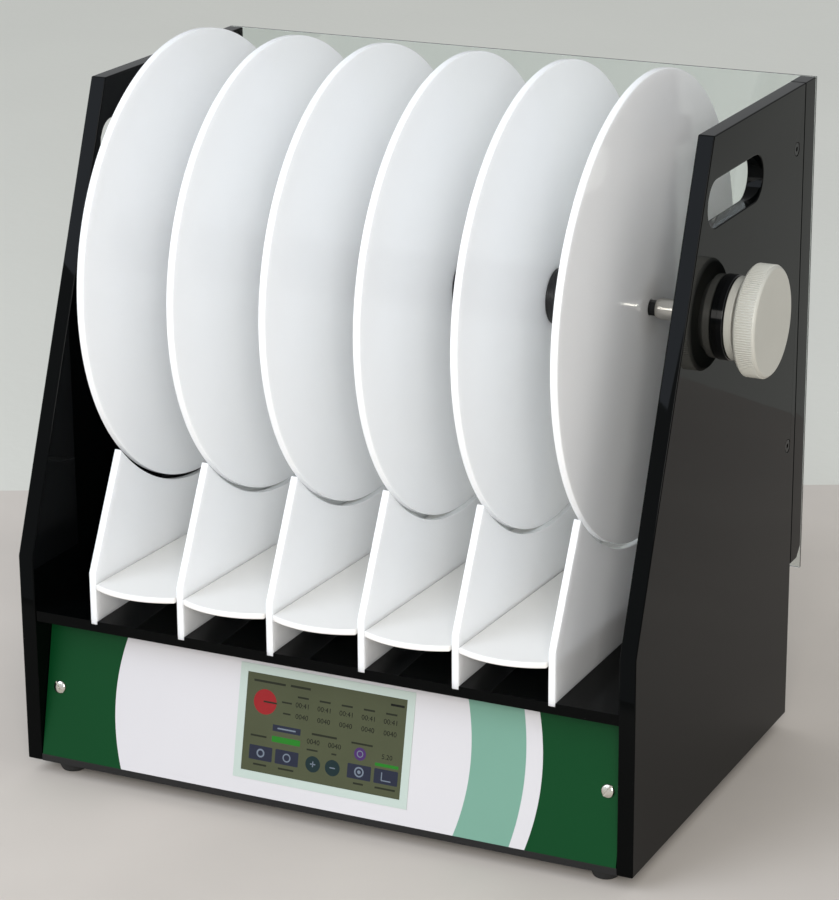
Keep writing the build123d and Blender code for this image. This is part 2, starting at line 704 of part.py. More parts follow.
def gear_motor():
    """Gear motor: gearbox, motor can and rear boss."""
    x1 = MOTOR_X + GEARBOX_L
    end = x1 + MOTOR_L
    body = bar_x(GEARBOX_R, MOTOR_X, x1, MOTOR_PLANE)
    body += bar_x(MOTOR_R, x1, end, MOTOR_PLANE)
    body += bar_x(MOTOR_R / 3, end, end + MOTOR_BOSS, MOTOR_PLANE)
    bore = MOTOR_X + MOTOR_SHAFT_IN + PART_CLEAR
    return body - bar_x(MOTOR_SHAFT_R + RUN_CLEAR, MOTOR_X, bore, MOTOR_PLANE)


def motor_shaft():
    """Output shaft of the gear motor."""
    x0 = BELT_X - PULLEY_HALF - FLANGE_T - PULLEY_GAP / 2
    return bar_x(MOTOR_SHAFT_R, x0, MOTOR_X + MOTOR_SHAFT_IN, MOTOR_PLANE)


# ---------------------------------------------------------------- trip trays
def in_lane(x, pieces):
    """Places pieces made about the hinge axis into the lane at x, raised to the tray's rest slope."""
    return [Pos(x, HINGE_Y, HINGE_Z) * Rot(X=-TRAY_SLOPE) * piece for piece in pieces]


def tray():
    """Trip tray about its hinge: flat plate with a curved front lip, barrel, tail and magnet."""
    half = LANE_W / 2 - TRAY_CLEAR
    side = -(TRAY_REACH - LIP_SAG)
    outline = make_face(
        [
            Line((-half, side, TRAY_UNDER), (-half, TRAY_TAIL, TRAY_UNDER)),
            Line((-half, TRAY_TAIL, TRAY_UNDER), (half, TRAY_TAIL, TRAY_UNDER)),
            Line((half, TRAY_TAIL, TRAY_UNDER), (half, side, TRAY_UNDER)),
            ThreePointArc((half, side, TRAY_UNDER), (0, -TRAY_REACH, TRAY_UNDER), (-half, side, TRAY_UNDER)),
        ]
    )
    plate = extrude(outline, amount=TRAY_T, dir=(0, 0, 1))
    plate = chamfer(plate.faces().sort_by(Axis.Z)[-1].edges(), EDGE_BREAK)
    barrel = Rot(Y=90) * Cylinder(BARREL_R, 2 * half)
    body = plate + barrel - Rot(Y=90) * Cylinder(HINGE_R + RUN_CLEAR, 2 * half)
    magnet = upright(MAGNET_R, 0, MAGNET_BACK, TRAY_UNDER - MAGNET_T, TRAY_UNDER)
    return [body, magnet]


def tray_hinge_rod():
    """Steel rod through all six walls that every tray hangs on."""
    return Pos(0, HINGE_Y, HINGE_Z) * Rot(Y=90) * Cylinder(HINGE_R, 2 * STACK + 4.0)


def tray_catches():
    """Catch magnets on the deck, each with its sensor, under the tails of the raised trays."""
    low = -(MAGNET_BACK + MAGNET_R) * math.sin(SLOPE) + (TRAY_UNDER - MAGNET_T) * math.cos(SLOPE)
    top = HINGE_Z + low - PART_CLEAR
    y = HINGE_Y + MAGNET_BACK
    return [block(x - 7, x + 7, y - 5, y + 5, DECK_Z, top) for x in LANE_X]


def tray_stops():
    """Rubber stops that a fallen tray lands on."""
    fallen = math.radians(TRAY_TRIP - TRAY_SLOPE)
    low = -(STOP_AHEAD + STOP_R) * math.sin(fallen) + TRAY_UNDER * math.cos(fallen)
    top = HINGE_Z + low - PART_CLEAR / 2
    y = HINGE_Y - STOP_AHEAD
    return [upright(STOP_R, x, y, DECK_Z, top) for x in LANE_X]


# ---------------------------------------------------------------- electrics
def power_cutout():
    """Corners of the power module's body and of its hole in the rear cover."""
    return (
        MODULE_X - MODULE_HALF_W,
        MODULE_X + MODULE_HALF_W,
        REAR - REAR_T,
        REAR,
        MODULE_MIDDLE - MODULE_HALF_H,
        MODULE_MIDDLE + MODULE_HALF_H,
    )


def usb_cutout():
    """Corners of the data socket's hole in the rear cover."""
    return (
        USB_X - USB_HALF_W,
        USB_X + USB_HALF_W,
        REAR - REAR_T,
        REAR,
        MODULE_MIDDLE - USB_HALF_H,
        MODULE_MIDDLE + USB_HALF_H,
    )


def recess(half_w, half_h, middle_z, depth):
    """Pocket from behind into the power module."""
    face = REAR + MODULE_RIM_T
    x0 = MODULE_X - half_w
    x1 = MODULE_X + half_w
    return block(x0, x1, REAR - depth, face, middle_z - half_h, middle_z + half_h)


def power_module():
    """Mains inlet and switch housing in one moulding."""
    x0, x1, _, _, z0, z1 = power_cutout()
    rim = MODULE_RIM
    body = block(x0, x1, REAR - MODULE_IN, REAR, z0, z1)
    body += block(x0 - rim, x1 + rim, REAR, REAR + MODULE_RIM_T, z0 - rim, z1 + rim)
    body -= recess(SOCKET_HALF_W, SOCKET_HALF_H, SOCKET_Z, SOCKET_IN)
    return body - recess(ROCKER_HALF_W + ROCKER_SIDE, ROCKER_HALF, ROCKER_Z, ROCKER_IN)


def inlet_pins():
    """Three flat contact pins of the inlet, the middle one higher."""
    y0 = REAR - SOCKET_IN
    pins = []
    for step in (-1, 0, 1):
        x = MODULE_X + step * PIN_PITCH
        z = SOCKET_Z + (-PIN_RISE if step else PIN_RISE)
        pins.append(block(x - PIN_HALF_W, x + PIN_HALF_W, y0, y0 + PIN_L, z - PIN_HALF_H, z + PIN_HALF_H))
    return pins


def rocker_switch():
    """Power rocker, tipped to its off side at rest."""
    rocker = along_x(side_profile(ROCKER_OUTLINE), -ROCKER_HALF_W, ROCKER_HALF_W)
    return Pos(MODULE_X, ROCKER_Y, ROCKER_Z) * Rot(X=-ROCKER_TURN) * rocker


def usb_port():
    """Data socket with its shell and tongue."""
    x0, x1, _, _, z0, z1 = usb_cutout()
    wall = USB_WALL
    shell = block(x0, x1, REAR - USB_IN, REAR + USB_PROUD, z0, z1)
    shell -= block(x0 + wall, x1 - wall, REAR - USB_MOUTH, REAR + USB_PROUD, z0 + wall, z1 - wall)
    half_w = TONGUE_HALF_W
    low = MODULE_MIDDLE - TONGUE_HALF_T
    high = MODULE_MIDDLE + TONGUE_HALF_T
    return shell + block(USB_X - half_w, USB_X + half_w, REAR - USB_MOUTH, REAR - TONGUE_END, low, high)


def main_board():
    """Control board with its chips, capacitors and connectors, on four posts."""
    x0, x1 = BOARD_X
    y0, y1 = BOARD_Y
    z = BASE_Z + BOARD_UP
    top = z + BOARD_T
    board = block(x0, x1, y0, y1, z, top)
    for x in (x0 + POST_IN, x1 - POST_IN):
        for y in (y0 + POST_IN, y1 - POST_IN):
            board += upright(POST_R, x, y, BASE_Z, z)
    for x, y, side in CHIPS:
        half = side / 2
        board += block(x - half, x + half, y - half, y + half, top, top + CHIP_H)
    for x, y in CAPACITORS:
        board += upright(CAPACITOR_R, x, y, top, top + CAPACITOR_H)
    for i in range(PLUGS):
        x = PLUG_X + PLUG_PITCH * i
        y = PLUG_Y
        board += block(x - PLUG_W / 2, x + PLUG_W / 2, y - PLUG_D / 2, y + PLUG_D / 2, top, top + PLUG_H)
    return board


def power_supply():
    """Enclosed power supply on the base plate, with its terminal block."""
    x0, x1 = SUPPLY_X
    y1 = REAR - MODULE_IN - SUPPLY_GAP
    y0 = y1 - SUPPLY_L
    case = block(x0, x1, y0, y1, BASE_Z, BASE_Z + SUPPLY_H)
    case = chamfer(case.faces().sort_by(Axis.Z)[-1].edges(), SUPPLY_EDGE)
    z = BASE_Z + TERMINAL_UP
    return case + block(x0 - TERMINAL_D, x0, y0 + TERMINAL_IN, y1 - TERMINAL_IN, z, z + TERMINAL_H)


# ---------------------------------------------------------------- assembly
def lathe_nodes():
    """Rotor, knob and belt drive."""
    nodes = {
        "rod_core": rod_core(),
        "drive_spindle": drive_spindle(),
        "driven_pulley": pulley(DRIVEN_R, SPINDLE_R, AXIS_PLANE),
        "motor_pulley": pulley(DRIVER_R, MOTOR_SHAFT_R, MOTOR_PLANE),
        "motor_shaft": motor_shaft(),
        "knob_shaft": knob_shaft(),
        "drive_tip": drive_tip(),
        "knob_ring": knob_ring(),
        "release_knob": release_knob(),
        "bearing_bush": bearing_bush(),
        "bush_nut": bush_nut(),
        "bearing_housing": bearing_housing(),
        "ball_bearing": ball_bearing(),
        "drive_belt": drive_belt(),
        "belt_cover": belt_cover(),
        "motor_bracket": motor_bracket(),
        "gear_motor": gear_motor(),
    }
    for i in range(LANES + 1):
        nodes[f"disc_{i + 1}"] = disc(i)
    nodes["rod_sleeves"] = [rod_sleeve(i) for i in range(LANES)]
    return nodes


def frame_nodes():
    """Panels, deck, lane walls and rear screen."""
    nodes = {
        "left_side_panel": side_panel(-1),
        "right_side_panel": side_panel(1),
        "side_screws": side_screws(),
        "base_plate": base_plate(),
        "feet": feet(),
        "deck_shelf": deck_shelf(),
        "rear_cover": rear_cover(),
        "screen_bars": screen_bars(),
        "rear_screen": screen_sheet(),
        "mounting_blocks": screen_blocks() + face_blocks(),
    }
    wall = lane_wall()
    for i, x in enumerate(WALL_X):
        nodes[f"lane_wall_{i + 1}"] = Pos(x, 0, 0) * wall
    return nodes


def panel_nodes():
    """Control panel and electrics."""
    return {
        "front_plate": front_plate(),
        "front_overlay": front_overlay(),
        "display_frame": display_frame(),
        "touch_glass": touch_glass(),
        "display_module": display_module(),
        "face_screws": face_screws(),
        "power_module": power_module(),
        "inlet_pins": inlet_pins(),
        "rocker_switch": rocker_switch(),
        "usb_port": usb_port(),
        "main_board": main_board(),
        "power_supply": power_supply(),
    }


def tray_nodes():
    """Trip trays with their magnets, catches, stops and common hinge rod."""
    nodes = {
        "tray_hinge_rod": tray_hinge_rod(),
        "tray_catches": tray_catches(),
        "tray_stops": tray_stops(),
    }
    for i, x in enumerate(LANE_X):
        nodes[f"tray_{i + 1}"] = in_lane(x, tray())
    return nodes


def to_row(node):
    """Moves a node so that the bench point under the middle of the whole object is the origin."""
    move = Pos(-ROW_X, -ROW_Y, 0)
    if isinstance(node, list):
        return Compound([move * piece for piece in node])
    return move * node


def main():
    """Writes one STEP file per node and prints the places that the joints need."""
    os.makedirs("parts", exist_ok=True)
    nodes = {**frame_nodes(), **lathe_nodes(), **panel_nodes(), **tray_nodes()}
    for name, node in nodes.items():
        export_step(to_row(node), os.path.join("parts", f"{name}.step"))
    print(len(nodes), "nodes")
    print("row shift", ROW_X, ROW_Y)
    print("rotor axis", -ROW_Y, AXIS_Z, "motor axis", -ROW_Y, MOTOR_Z, "ratio", RATIO)
    print("tray hinge", HINGE_Y - ROW_Y, HINGE_Z, "lanes at", [round(x - ROW_X, 3) for x in LANE_X])
    print("rocker", MODULE_X - ROW_X, ROCKER_Y - ROW_Y, ROCKER_Z)
    print("knob travel", TIP_IN + WALL_T + SHAFT_END_GAP, "overall height", AXIS_Z + DISC_R)


main()
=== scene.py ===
"""Five-lane rotarod treadmill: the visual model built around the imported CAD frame, in metres."""
import json
import logging
import math
from dataclasses import dataclass
from enum import Enum
from typing import Callable, Optional, Sequence

import bmesh
import bpy
from bpy.types import Material, Mesh, Node, NodeSocket, NodeTree, Object
from mathutils import Matrix, Vector


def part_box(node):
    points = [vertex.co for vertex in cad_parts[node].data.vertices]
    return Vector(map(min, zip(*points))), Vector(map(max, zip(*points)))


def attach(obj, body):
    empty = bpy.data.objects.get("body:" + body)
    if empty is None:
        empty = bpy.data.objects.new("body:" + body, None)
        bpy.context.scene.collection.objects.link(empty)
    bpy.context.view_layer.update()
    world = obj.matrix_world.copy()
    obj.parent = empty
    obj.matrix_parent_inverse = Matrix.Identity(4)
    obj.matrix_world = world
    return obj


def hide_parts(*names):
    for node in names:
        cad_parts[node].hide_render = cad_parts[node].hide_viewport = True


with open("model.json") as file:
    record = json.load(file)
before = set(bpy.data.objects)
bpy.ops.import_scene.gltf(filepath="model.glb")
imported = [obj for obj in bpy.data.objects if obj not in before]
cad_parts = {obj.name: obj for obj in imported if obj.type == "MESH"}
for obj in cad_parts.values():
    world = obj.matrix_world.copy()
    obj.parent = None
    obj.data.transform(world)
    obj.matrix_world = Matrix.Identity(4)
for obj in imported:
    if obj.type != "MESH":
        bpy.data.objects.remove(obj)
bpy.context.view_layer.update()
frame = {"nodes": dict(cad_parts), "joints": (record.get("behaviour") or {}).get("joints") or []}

LOG = logging.getLogger("rotarod")
MM = 0.001
Point = tuple[float, float]


class Body(Enum):
    """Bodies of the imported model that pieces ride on."""

    ROOT = "root"
    ROTOR = "rotor"
    KNOB = "knob"
    TRAY_1 = "trip_tray_1"
    TRAY_2 = "trip_tray_2"
    TRAY_3 = "trip_tray_3"
    TRAY_4 = "trip_tray_4"
    TRAY_5 = "trip_tray_5"


# ---------------------------------------------------------------- node helpers
def linear(colour: str) -> tuple[float, float, float, float]:
    """Turns an sRGB hex colour into linear RGBA.

    Args:
        colour: Hex digits after a hash sign.

    Returns:
        Linear red, green and blue with full alpha.
    """
    parts = [int(colour[i : i + 2], 16) / 255 for i in (1, 3, 5)]
    red, green, blue = [p / 12.92 if p <= 0.04045 else ((p + 0.055) / 1.055) ** 2.4 for p in parts]
    return (red, green, blue, 1.0)


def add(tree: NodeTree, kind: str, inputs: Optional[dict] = None, **settings: object) -> Node:
    """Adds one node with its settings, values and links.

    Args:
        tree: Node tree that gets the node.
        kind: The node's type name.
        inputs: Input name or number to a value, or to the socket that is linked there.
        **settings: Properties of the node itself.

    Returns:
        The new node.
    """
    node = tree.nodes.new(kind)
    for key, value in settings.items():
        setattr(node, key, value)
    for key, value in (inputs or {}).items():
        if isinstance(value, NodeSocket):
            tree.links.new(value, node.inputs[key])
        else:
            node.inputs[key].default_value = value
    return node


# ---------------------------------------------------------------- finishes
@dataclass(frozen=True)
class Finish:
    """A surface with handling marks in its gloss, slight colour drift and a fine relief, all at real sizes."""

    name: str
    colour: str
    roughness: float
    ior: float = 1.5
    metallic: float = 0.0
    drift: float = 0.03        # share by which the colour wanders
    drift_mm: float = 60.0
    marks: float = 0.03        # roughness added by finger marks and dust
    marks_mm: float = 18.0
    relief: float = 0.0        # depth of the surface relief, in mm
    relief_mm: float = 1.0     # and its spacing
    stretch: tuple[float, float, float] = (1.0, 1.0, 1.0)

    def material(self) -> Material:
        """Builds the material once and gives the same one afterwards."""
        done = bpy.data.materials.get(self.name)
        if done:
            return done
        material = bpy.data.materials.new(self.name)
        material.use_nodes = True
        tree = material.node_tree
        tree.nodes.clear()
        shader = add(tree, "ShaderNodeBsdfPrincipled")
        place = add(tree, "ShaderNodeTexCoord").outputs["Object"]
        self.set_constants(shader)
        self.paint(tree, shader, place)
        self.carve(tree, shader, place)
        add(tree, "ShaderNodeOutputMaterial", {"Surface": shader.outputs[0]})
        return material

    def set_constants(self, shader: Node) -> None:
        """Sets what is the same all over the surface on the shader's own sockets."""
        shader.inputs["Metallic"].default_value = self.metallic
        if not self.metallic:
            shader.inputs["IOR"].default_value = self.ior

    def paint(self, tree: NodeTree, shader: Node, place: NodeSocket) -> None:
        """Links the wandering colour and the marked gloss."""
        parts = linear(self.colour)[:3]
        low = [c * (1 - self.drift) for c in parts]
        high = [min(1.0, c * (1 + self.drift)) for c in parts]
        size = 1 / (self.drift_mm * MM)
        cloud = add(tree, "ShaderNodeTexNoise", {"Vector": place, "Scale": size, "Detail": 3.0})
        ramp = add(tree, "ShaderNodeValToRGB", {"Fac": cloud.outputs[0]})
        ramp.color_ramp.elements[0].position = 0.3
        ramp.color_ramp.elements[0].color = (*low, 1.0)
        ramp.color_ramp.elements[1].position = 0.7
        ramp.color_ramp.elements[1].color = (*high, 1.0)
        tree.links.new(ramp.outputs[0], shader.inputs["Base Color"])
        size = 1 / (self.marks_mm * MM)
        smear = add(tree, "ShaderNodeTexNoise", {"Vector": place, "Scale": size, "Detail": 6.0})
        rough = self.roughness
        spread = {"Value": smear.outputs[0], 1: 0.4, 2: 0.75, 3: rough, 4: rough + self.marks}
        gloss = add(tree, "ShaderNodeMapRange", spread)
        tree.links.new(gloss.outputs[0], shader.inputs["Roughness"])

    def carve(self, tree: NodeTree, shader: Node, place: NodeSocket) -> None:
        """Links the fine relief, if there is one."""
        if not self.relief:
            return
        where = add(tree, "ShaderNodeMapping", {"Vector": place, "Scale": self.stretch})
        size = 1 / (self.relief_mm * MM)
        grain = add(tree, "ShaderNodeTexNoise", {"Vector": where.outputs[0], "Scale": size, "Detail": 2.0})
        self.raise_by(tree, shader, grain.outputs[0])

    def raise_by(self, tree: NodeTree, shader: Node, height: NodeSocket) -> None:
        """Links a height pattern to the shader's normal, at the relief's depth."""
        bump = add(tree, "ShaderNodeBump", {"Height": height, "Distance": self.relief * MM, "Strength": 1.0})
        tree.links.new(bump.outputs[0], shader.inputs["Normal"])


@dataclass(frozen=True)
class CastAcrylic(Finish):
    """Cast acrylic sheet: a deep gloss, with a long slow wave in it that bends reflections a little."""

    ior: float = 1.49
    drift: float = 0.012
    marks: float = 0.05
    relief: float = 0.02
    relief_mm: float = 45.0


@dataclass(frozen=True)
class OpalAcrylic(CastAcrylic):
    """White opal sheet: light that enters one side spreads in it and leaves softly, so no face goes dark."""

    spread_mm: float = 8.0

    def set_constants(self, shader: Node) -> None:
        """Adds the spreading of light inside the sheet."""
        Finish.set_constants(self, shader)
        shader.inputs["Subsurface Weight"].default_value = 0.8
        shader.inputs["Subsurface Radius"].default_value = (1.0, 1.0, 1.0)
        shader.inputs["Subsurface Scale"].default_value = self.spread_mm * MM


@dataclass(frozen=True)
class ClearAcrylic(CastAcrylic):
    """Clear cast sheet: light passes through, faintly green where it travels far."""

    def set_constants(self, shader: Node) -> None:
        """Adds the light that passes through."""
        Finish.set_constants(self, shader)
        shader.inputs["Transmission Weight"].default_value = 1.0


@dataclass(frozen=True)
class TurnedPlastic(Finish):
    """Plastic turned on a lathe, or machined: satin, with fine tool lines round the rotor's axis."""

    relief: float = 0.012
    relief_mm: float = 0.35

    def carve(self, tree: NodeTree, shader: Node, place: NodeSocket) -> None:
        """Links tool lines as rings about the rotor's axis."""
        from_axis = add(tree, "ShaderNodeVectorMath", {0: place, 1: AXIS}, operation="SUBTRACT")
        squashed = {0: from_axis.outputs[0], 1: (0.15, 1.0, 1.0)}
        flat = add(tree, "ShaderNodeVectorMath", squashed, operation="MULTIPLY")
        away = add(tree, "ShaderNodeVectorMath", {0: flat.outputs[0]}, operation="LENGTH")
        fine = {"W": away.outputs["Value"], "Scale": 1 / (self.relief_mm * MM), "Detail": 1.0}
        lines = add(tree, "ShaderNodeTexNoise", fine, noise_dimensions="1D")
        self.raise_by(tree, shader, lines.outputs[0])


@dataclass(frozen=True)
class TracedBoard(Finish):
    """Circuit board: solder resist over copper tracks, which show as paler right-angled lines."""

    track_mm: float = 4.0

    def paint(self, tree: NodeTree, shader: Node, place: NodeSocket) -> None:
        """Mixes the track colour in where the cells of a square pattern meet."""
        Finish.paint(self, tree, shader, place)
        grid = {"Vector": place, "Scale": 1 / (self.track_mm * MM)}
        cells = add(tree, "ShaderNodeTexVoronoi", grid, distance="CHEBYCHEV", feature="DISTANCE_TO_EDGE")
        ramp = add(tree, "ShaderNodeValToRGB", {"Fac": cells.outputs[0]})
        ramp.color_ramp.elements[0].color = linear("#2F8A55")
        ramp.color_ramp.elements[1].color = linear(self.colour)
        ramp.color_ramp.elements[1].position = 0.12
        tree.links.new(ramp.outputs[0], shader.inputs["Base Color"])


@dataclass(frozen=True)
class PrintedFilm(Finish):
    """Printed polyester film: matt, with a fine texture over the print."""

    roughness: float = 0.45
    ior: float = 1.25
    drift: float = 0.02
    relief: float = 0.006
    relief_mm: float = 0.4


@dataclass(frozen=True)
class ScreenInk(Finish):
    """Liquid crystal display behind glass, seen from its dim side."""

    roughness: float = 0.2
    ior: float = 1.3


# cast black acrylic, polished: mirrors the room, nearly no colour of its own
BLACK_SHEET = CastAcrylic("black_cast_acrylic", "#030404", 0.02, ior=1.16, marks=0.02, relief=0.008)
# cast white acrylic, cool white, polished, so neighbouring discs show in it faintly
WHITE_SHEET = OpalAcrylic("white_cast_acrylic", "#FAFCFD", 0.06, ior=1.42)
# white PVC sheet of the trays, a little warmer and duller
TRAY_SHEET = CastAcrylic("tray_white_pvc", "#EFEDE9", 0.22, relief=0.01, relief_mm=6.0)
# clear cast acrylic: seen by its green edge and as a faint veil
CLEAR_SHEET = ClearAcrylic("clear_cast_acrylic", "#F2F8F5", 0.0, marks=0.02)
# polyester film printed from behind: even, matt colours
FILM_WHITE = PrintedFilm("film_white", "#CCCACC", drift=0.008)
FILM_GREEN = PrintedFilm("film_dark_green", "#003D1A")
FILM_SAGE = PrintedFilm("film_sage_green", "#719A89")
# frame of the display: the same print, but glossier
FILM_PALE = PrintedFilm("film_pale_grey_green", "#B4C1B9", 0.3, ior=1.5)
# display seen through its glass: dim olive ground, dull inks
SCREEN_OLIVE = ScreenInk("screen_olive", "#474B36", drift=0.05, drift_mm=30.0)
SCREEN_DARK = ScreenInk("screen_digits", "#0D1008")
SCREEN_FAINT = ScreenInk("screen_captions", "#22251A")
SCREEN_RED = ScreenInk("screen_red", "#8A1F22")
SCREEN_GREEN = ScreenInk("screen_green", "#22701F")
SCREEN_SLATE = ScreenInk("screen_slate", "#232736")
SCREEN_TEAL = ScreenInk("screen_teal", "#16282A")
SCREEN_VIOLET = ScreenInk("screen_violet", "#432A5C")
SCREEN_PALE = ScreenInk("screen_pale", "#6A7480")
# acetal rod and knob: satin, slightly waxy
BLACK_ACETAL = Finish("black_acetal", "#121315", 0.28, ior=1.48, marks=0.06)
WHITE_ACETAL = TurnedPlastic("white_acetal", "#C9C8BF", 0.34, ior=1.48, marks=0.06)
GLOSS_COLLAR = TurnedPlastic("black_collar", "#08090A", 0.1, ior=1.48, relief=0.004)
# moulded ABS: spark-eroded grain, no shine
BLACK_MOULDED = Finish("black_moulded_plastic", "#151617", 0.42, relief=0.02, relief_mm=0.5)
# nitrile rubber: dull, dusty black
RUBBER = Finish("black_rubber", "#131313", 0.62, ior=1.52, relief=0.02, relief_mm=0.8, drift=0.08)
# steel plate with black powder coat: soft gloss with orange peel
POWDER_COAT = Finish("black_powder_coat", "#0D0E10", 0.3, relief=0.03, relief_mm=1.6)
# chromed steel: nearly a mirror, a little warm
CHROMED = Finish("chromed_steel", "#D9D6CF", 0.07, metallic=1.0, marks=0.06)
# nickel plate: softer and warmer than chrome
NICKEL = Finish("nickel_plated_steel", "#CFCBC2", 0.16, metallic=1.0, marks=0.08)
# ground along the rotor's direction, so the relief is drawn out along it
ALONG = (0.1, 1.0, 1.0)
GROUND_STEEL = Finish("ground_steel", "#B4B3B0", 0.26, metallic=1.0, relief=0.006, relief_mm=0.5, stretch=ALONG)
# black oxide on steel: dark, with a low sheen
BLACK_OXIDE = Finish("black_oxide_steel", "#1B1C1D", 0.32, metallic=1.0, marks=0.1)
# milled aluminium: pale grey, with fine tool lines
MACHINED = Finish(
    "machined_aluminium", "#BFC0C2", 0.24, metallic=1.0, relief=0.008, relief_mm=0.4, stretch=ALONG
)
# glass-fibre board under green solder resist
BOARD = TracedBoard("green_circuit_board", "#0F5230", 0.35)
# plated brass contacts: pale gold
BRASS = Finish("plated_brass", "#B79A5C", 0.25, metallic=1.0)
# back of the display module: black-lacquered steel
DISPLAY_BACK = Finish("display_back", "#17181A", 0.45, relief=0.01, relief_mm=0.6)
# unbleached cloth with slow folds, and flat emulsion paint behind it
CLOTH = Finish("pale_cloth_floor", "#CDC5BC", 0.8, drift=0.05, drift_mm=160.0, relief=3.0, relief_mm=170.0)
WALL_PAINT = Finish("pale_wall", "#DAD9D0", 0.9, drift=0.02, drift_mm=400.0, relief=0.3, relief_mm=12.0)


def joint_place(name: str) -> Vector:
    """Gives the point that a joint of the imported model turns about."""
    return Vector(next(j["pos_m"] for j in frame["joints"] if j["name"] == name))


AXIS = joint_place("rotor_spin")
ON_AXIS = (0.0, AXIS.y, AXIS.z)


# ---------------------------------------------------------------- shape helpers
def dress(node: str, finish: Finish) -> None:
    """Gives a CAD node its finish."""
    mesh = frame["nodes"][node].data
    mesh.materials.clear()
    mesh.materials.append(finish.material())


def box_of(node: str) -> tuple[Vector, Vector]:
    """Gives the low and the high corner of a CAD node's box."""
    low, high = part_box(node)
    return Vector(low), Vector(high)


def radius_of(node: str) -> float:
    """Gives the radius of a round CAD node on the rotor's axis."""
    low, high = box_of(node)
    return (high.z - low.z) / 2


def object_of(name: str, mesh: Mesh) -> Object:
    """Puts a mesh into the scene as an object at the origin."""
    made = bpy.data.objects.new(name, mesh)
    bpy.context.scene.collection.objects.link(made)
    return made


def settle(made: Object) -> Object:
    """Turns an object and its modifiers into a plain mesh at the origin.

    Args:
        made: Object whose modifiers are applied; it is replaced.

    Returns:
        A new object of the same name with the evaluated mesh.
    """
    name = made.name
    depsgraph = bpy.context.evaluated_depsgraph_get()
    mesh = bpy.data.meshes.new_from_object(made.evaluated_get(depsgraph), depsgraph=depsgraph)
    bpy.data.objects.remove(made)
    mesh.name = name
    return object_of(name, mesh)


def smooth(made: Object, sharp: float = 38.0) -> Object:
    """Shades an object smoothly, with its flat faces kept flat.

    Args:
        made: Object to shade.
        sharp: Degrees past which an edge stays sharp.

    Returns:
        The object with its normals baked.
    """
    mesh = made.data
    mesh.polygons.foreach_set("use_smooth", [True] * len(mesh.polygons))
    mesh.set_sharp_from_angle(angle=math.radians(sharp))
    modifier = made.modifiers.new("normals", "WEIGHTED_NORMAL")
    modifier.keep_sharp = True
    modifier.weight = 100
    return settle(made)


def arc(centre: Point, radius: float, start: float, end: float, steps: int) -> list[Point]:
    """Points of a circle arc, ends included.

    Args:
        centre: Centre in the drawing plane.
        radius: Radius.
        start: First angle, in degrees.
        end: Last angle, in degrees.
        steps: How many pieces the arc has.

    Returns:
        The points in order.
    """
    angles = [math.radians(start + (end - start) * i / steps) for i in range(steps + 1)]
    return [(centre[0] + radius * math.cos(a), centre[1] + radius * math.sin(a)) for a in angles]


def circle(centre: Point, radius: float, steps: int = 48) -> list[Point]:
    """Points of a full circle."""
    return arc(centre, radius, 0.0, 360.0, steps)[:-1]


def rectangle(low: Point, high: Point) -> list[Point]:
    """Corners of an upright rectangle."""
    return [low, (high[0], low[1]), high, (low[0], high[1])]


def mesh_from(bm: bmesh.types.BMesh, name: str) -> Mesh:
    """Ends a mesh in the making and gives it as mesh data."""
    mesh = bpy.data.meshes.new(name)
    bm.to_mesh(mesh)
    bm.free()
    return mesh


def sheet_mesh(name: str, loops: Sequence[Sequence[Point]], thickness: float) -> Mesh:
    """Flat sheet in XY with holes, from z = 0 up to its thickness.

    Args:
        name: Name of the mesh.
        loops: Outline first, then each hole.
        thickness: Thickness.

    Returns:
        A closed mesh with its faces outward.
    """
    bm = bmesh.new()
    edges = []
    for loop in loops:
        ring = [bm.verts.new((x, y, 0.0)) for x, y in loop]
        edges += [bm.edges.new((ring[i], ring[(i + 1) % len(ring)])) for i in range(len(ring))]
    if len(loops) == 1:
        bm.faces.new(ring)
    else:
        bmesh.ops.triangle_fill(bm, use_beauty=True, use_dissolve=False, edges=edges)
    moved = bmesh.ops.extrude_face_region(bm, geom=bm.faces[:])
    top = [v for v in moved["geom"] if isinstance(v, bmesh.types.BMVert)]
    bmesh.ops.translate(bm, vec=(0, 0, thickness), verts=top)
    bmesh.ops.recalc_face_normals(bm, faces=bm.faces)
    return mesh_from(bm, name)


# a radius under this is a pole
ON_POLE = 1e-7
# sheet drawn as (y, z), thick along x
UPRIGHT = Matrix(((0, 0, 1, 0), (1, 0, 0, 0), (0, 1, 0, 0), (0, 0, 0, 1)))


def cut_sheet(
    name: str,
    loops: Sequence[Sequence[Point]],
    thickness: float,
    edge: float,
    finish: Finish,
    turn: Matrix = UPRIGHT,
    shift: Sequence[float] = (0.0, 0.0, 0.0),
) -> Object:
    """Cuts a sheet to an outline and softens its polished edges.

    Args:
        name: Name of the piece.
        loops: Outline first, then each hole.
        thickness: Thickness.
        edge: Width of the edge rounding.
        finish: Its finish.
        turn: Turns the drawing plane into place.
        shift: Where the drawing's origin goes.

    Returns:
        The finished piece.
    """
    made = object_of(name, sheet_mesh(name, loops, thickness))
    made.data.transform(Matrix.Translation(shift) @ turn)
    made.data.materials.append(finish.material())
    modifier = made.modifiers.new("edge", "BEVEL")
    modifier.width = edge
    modifier.segments = 3
    modifier.limit_method = "ANGLE"
    modifier.angle_limit = math.radians(50)
    return smooth(settle(made), 50.0)


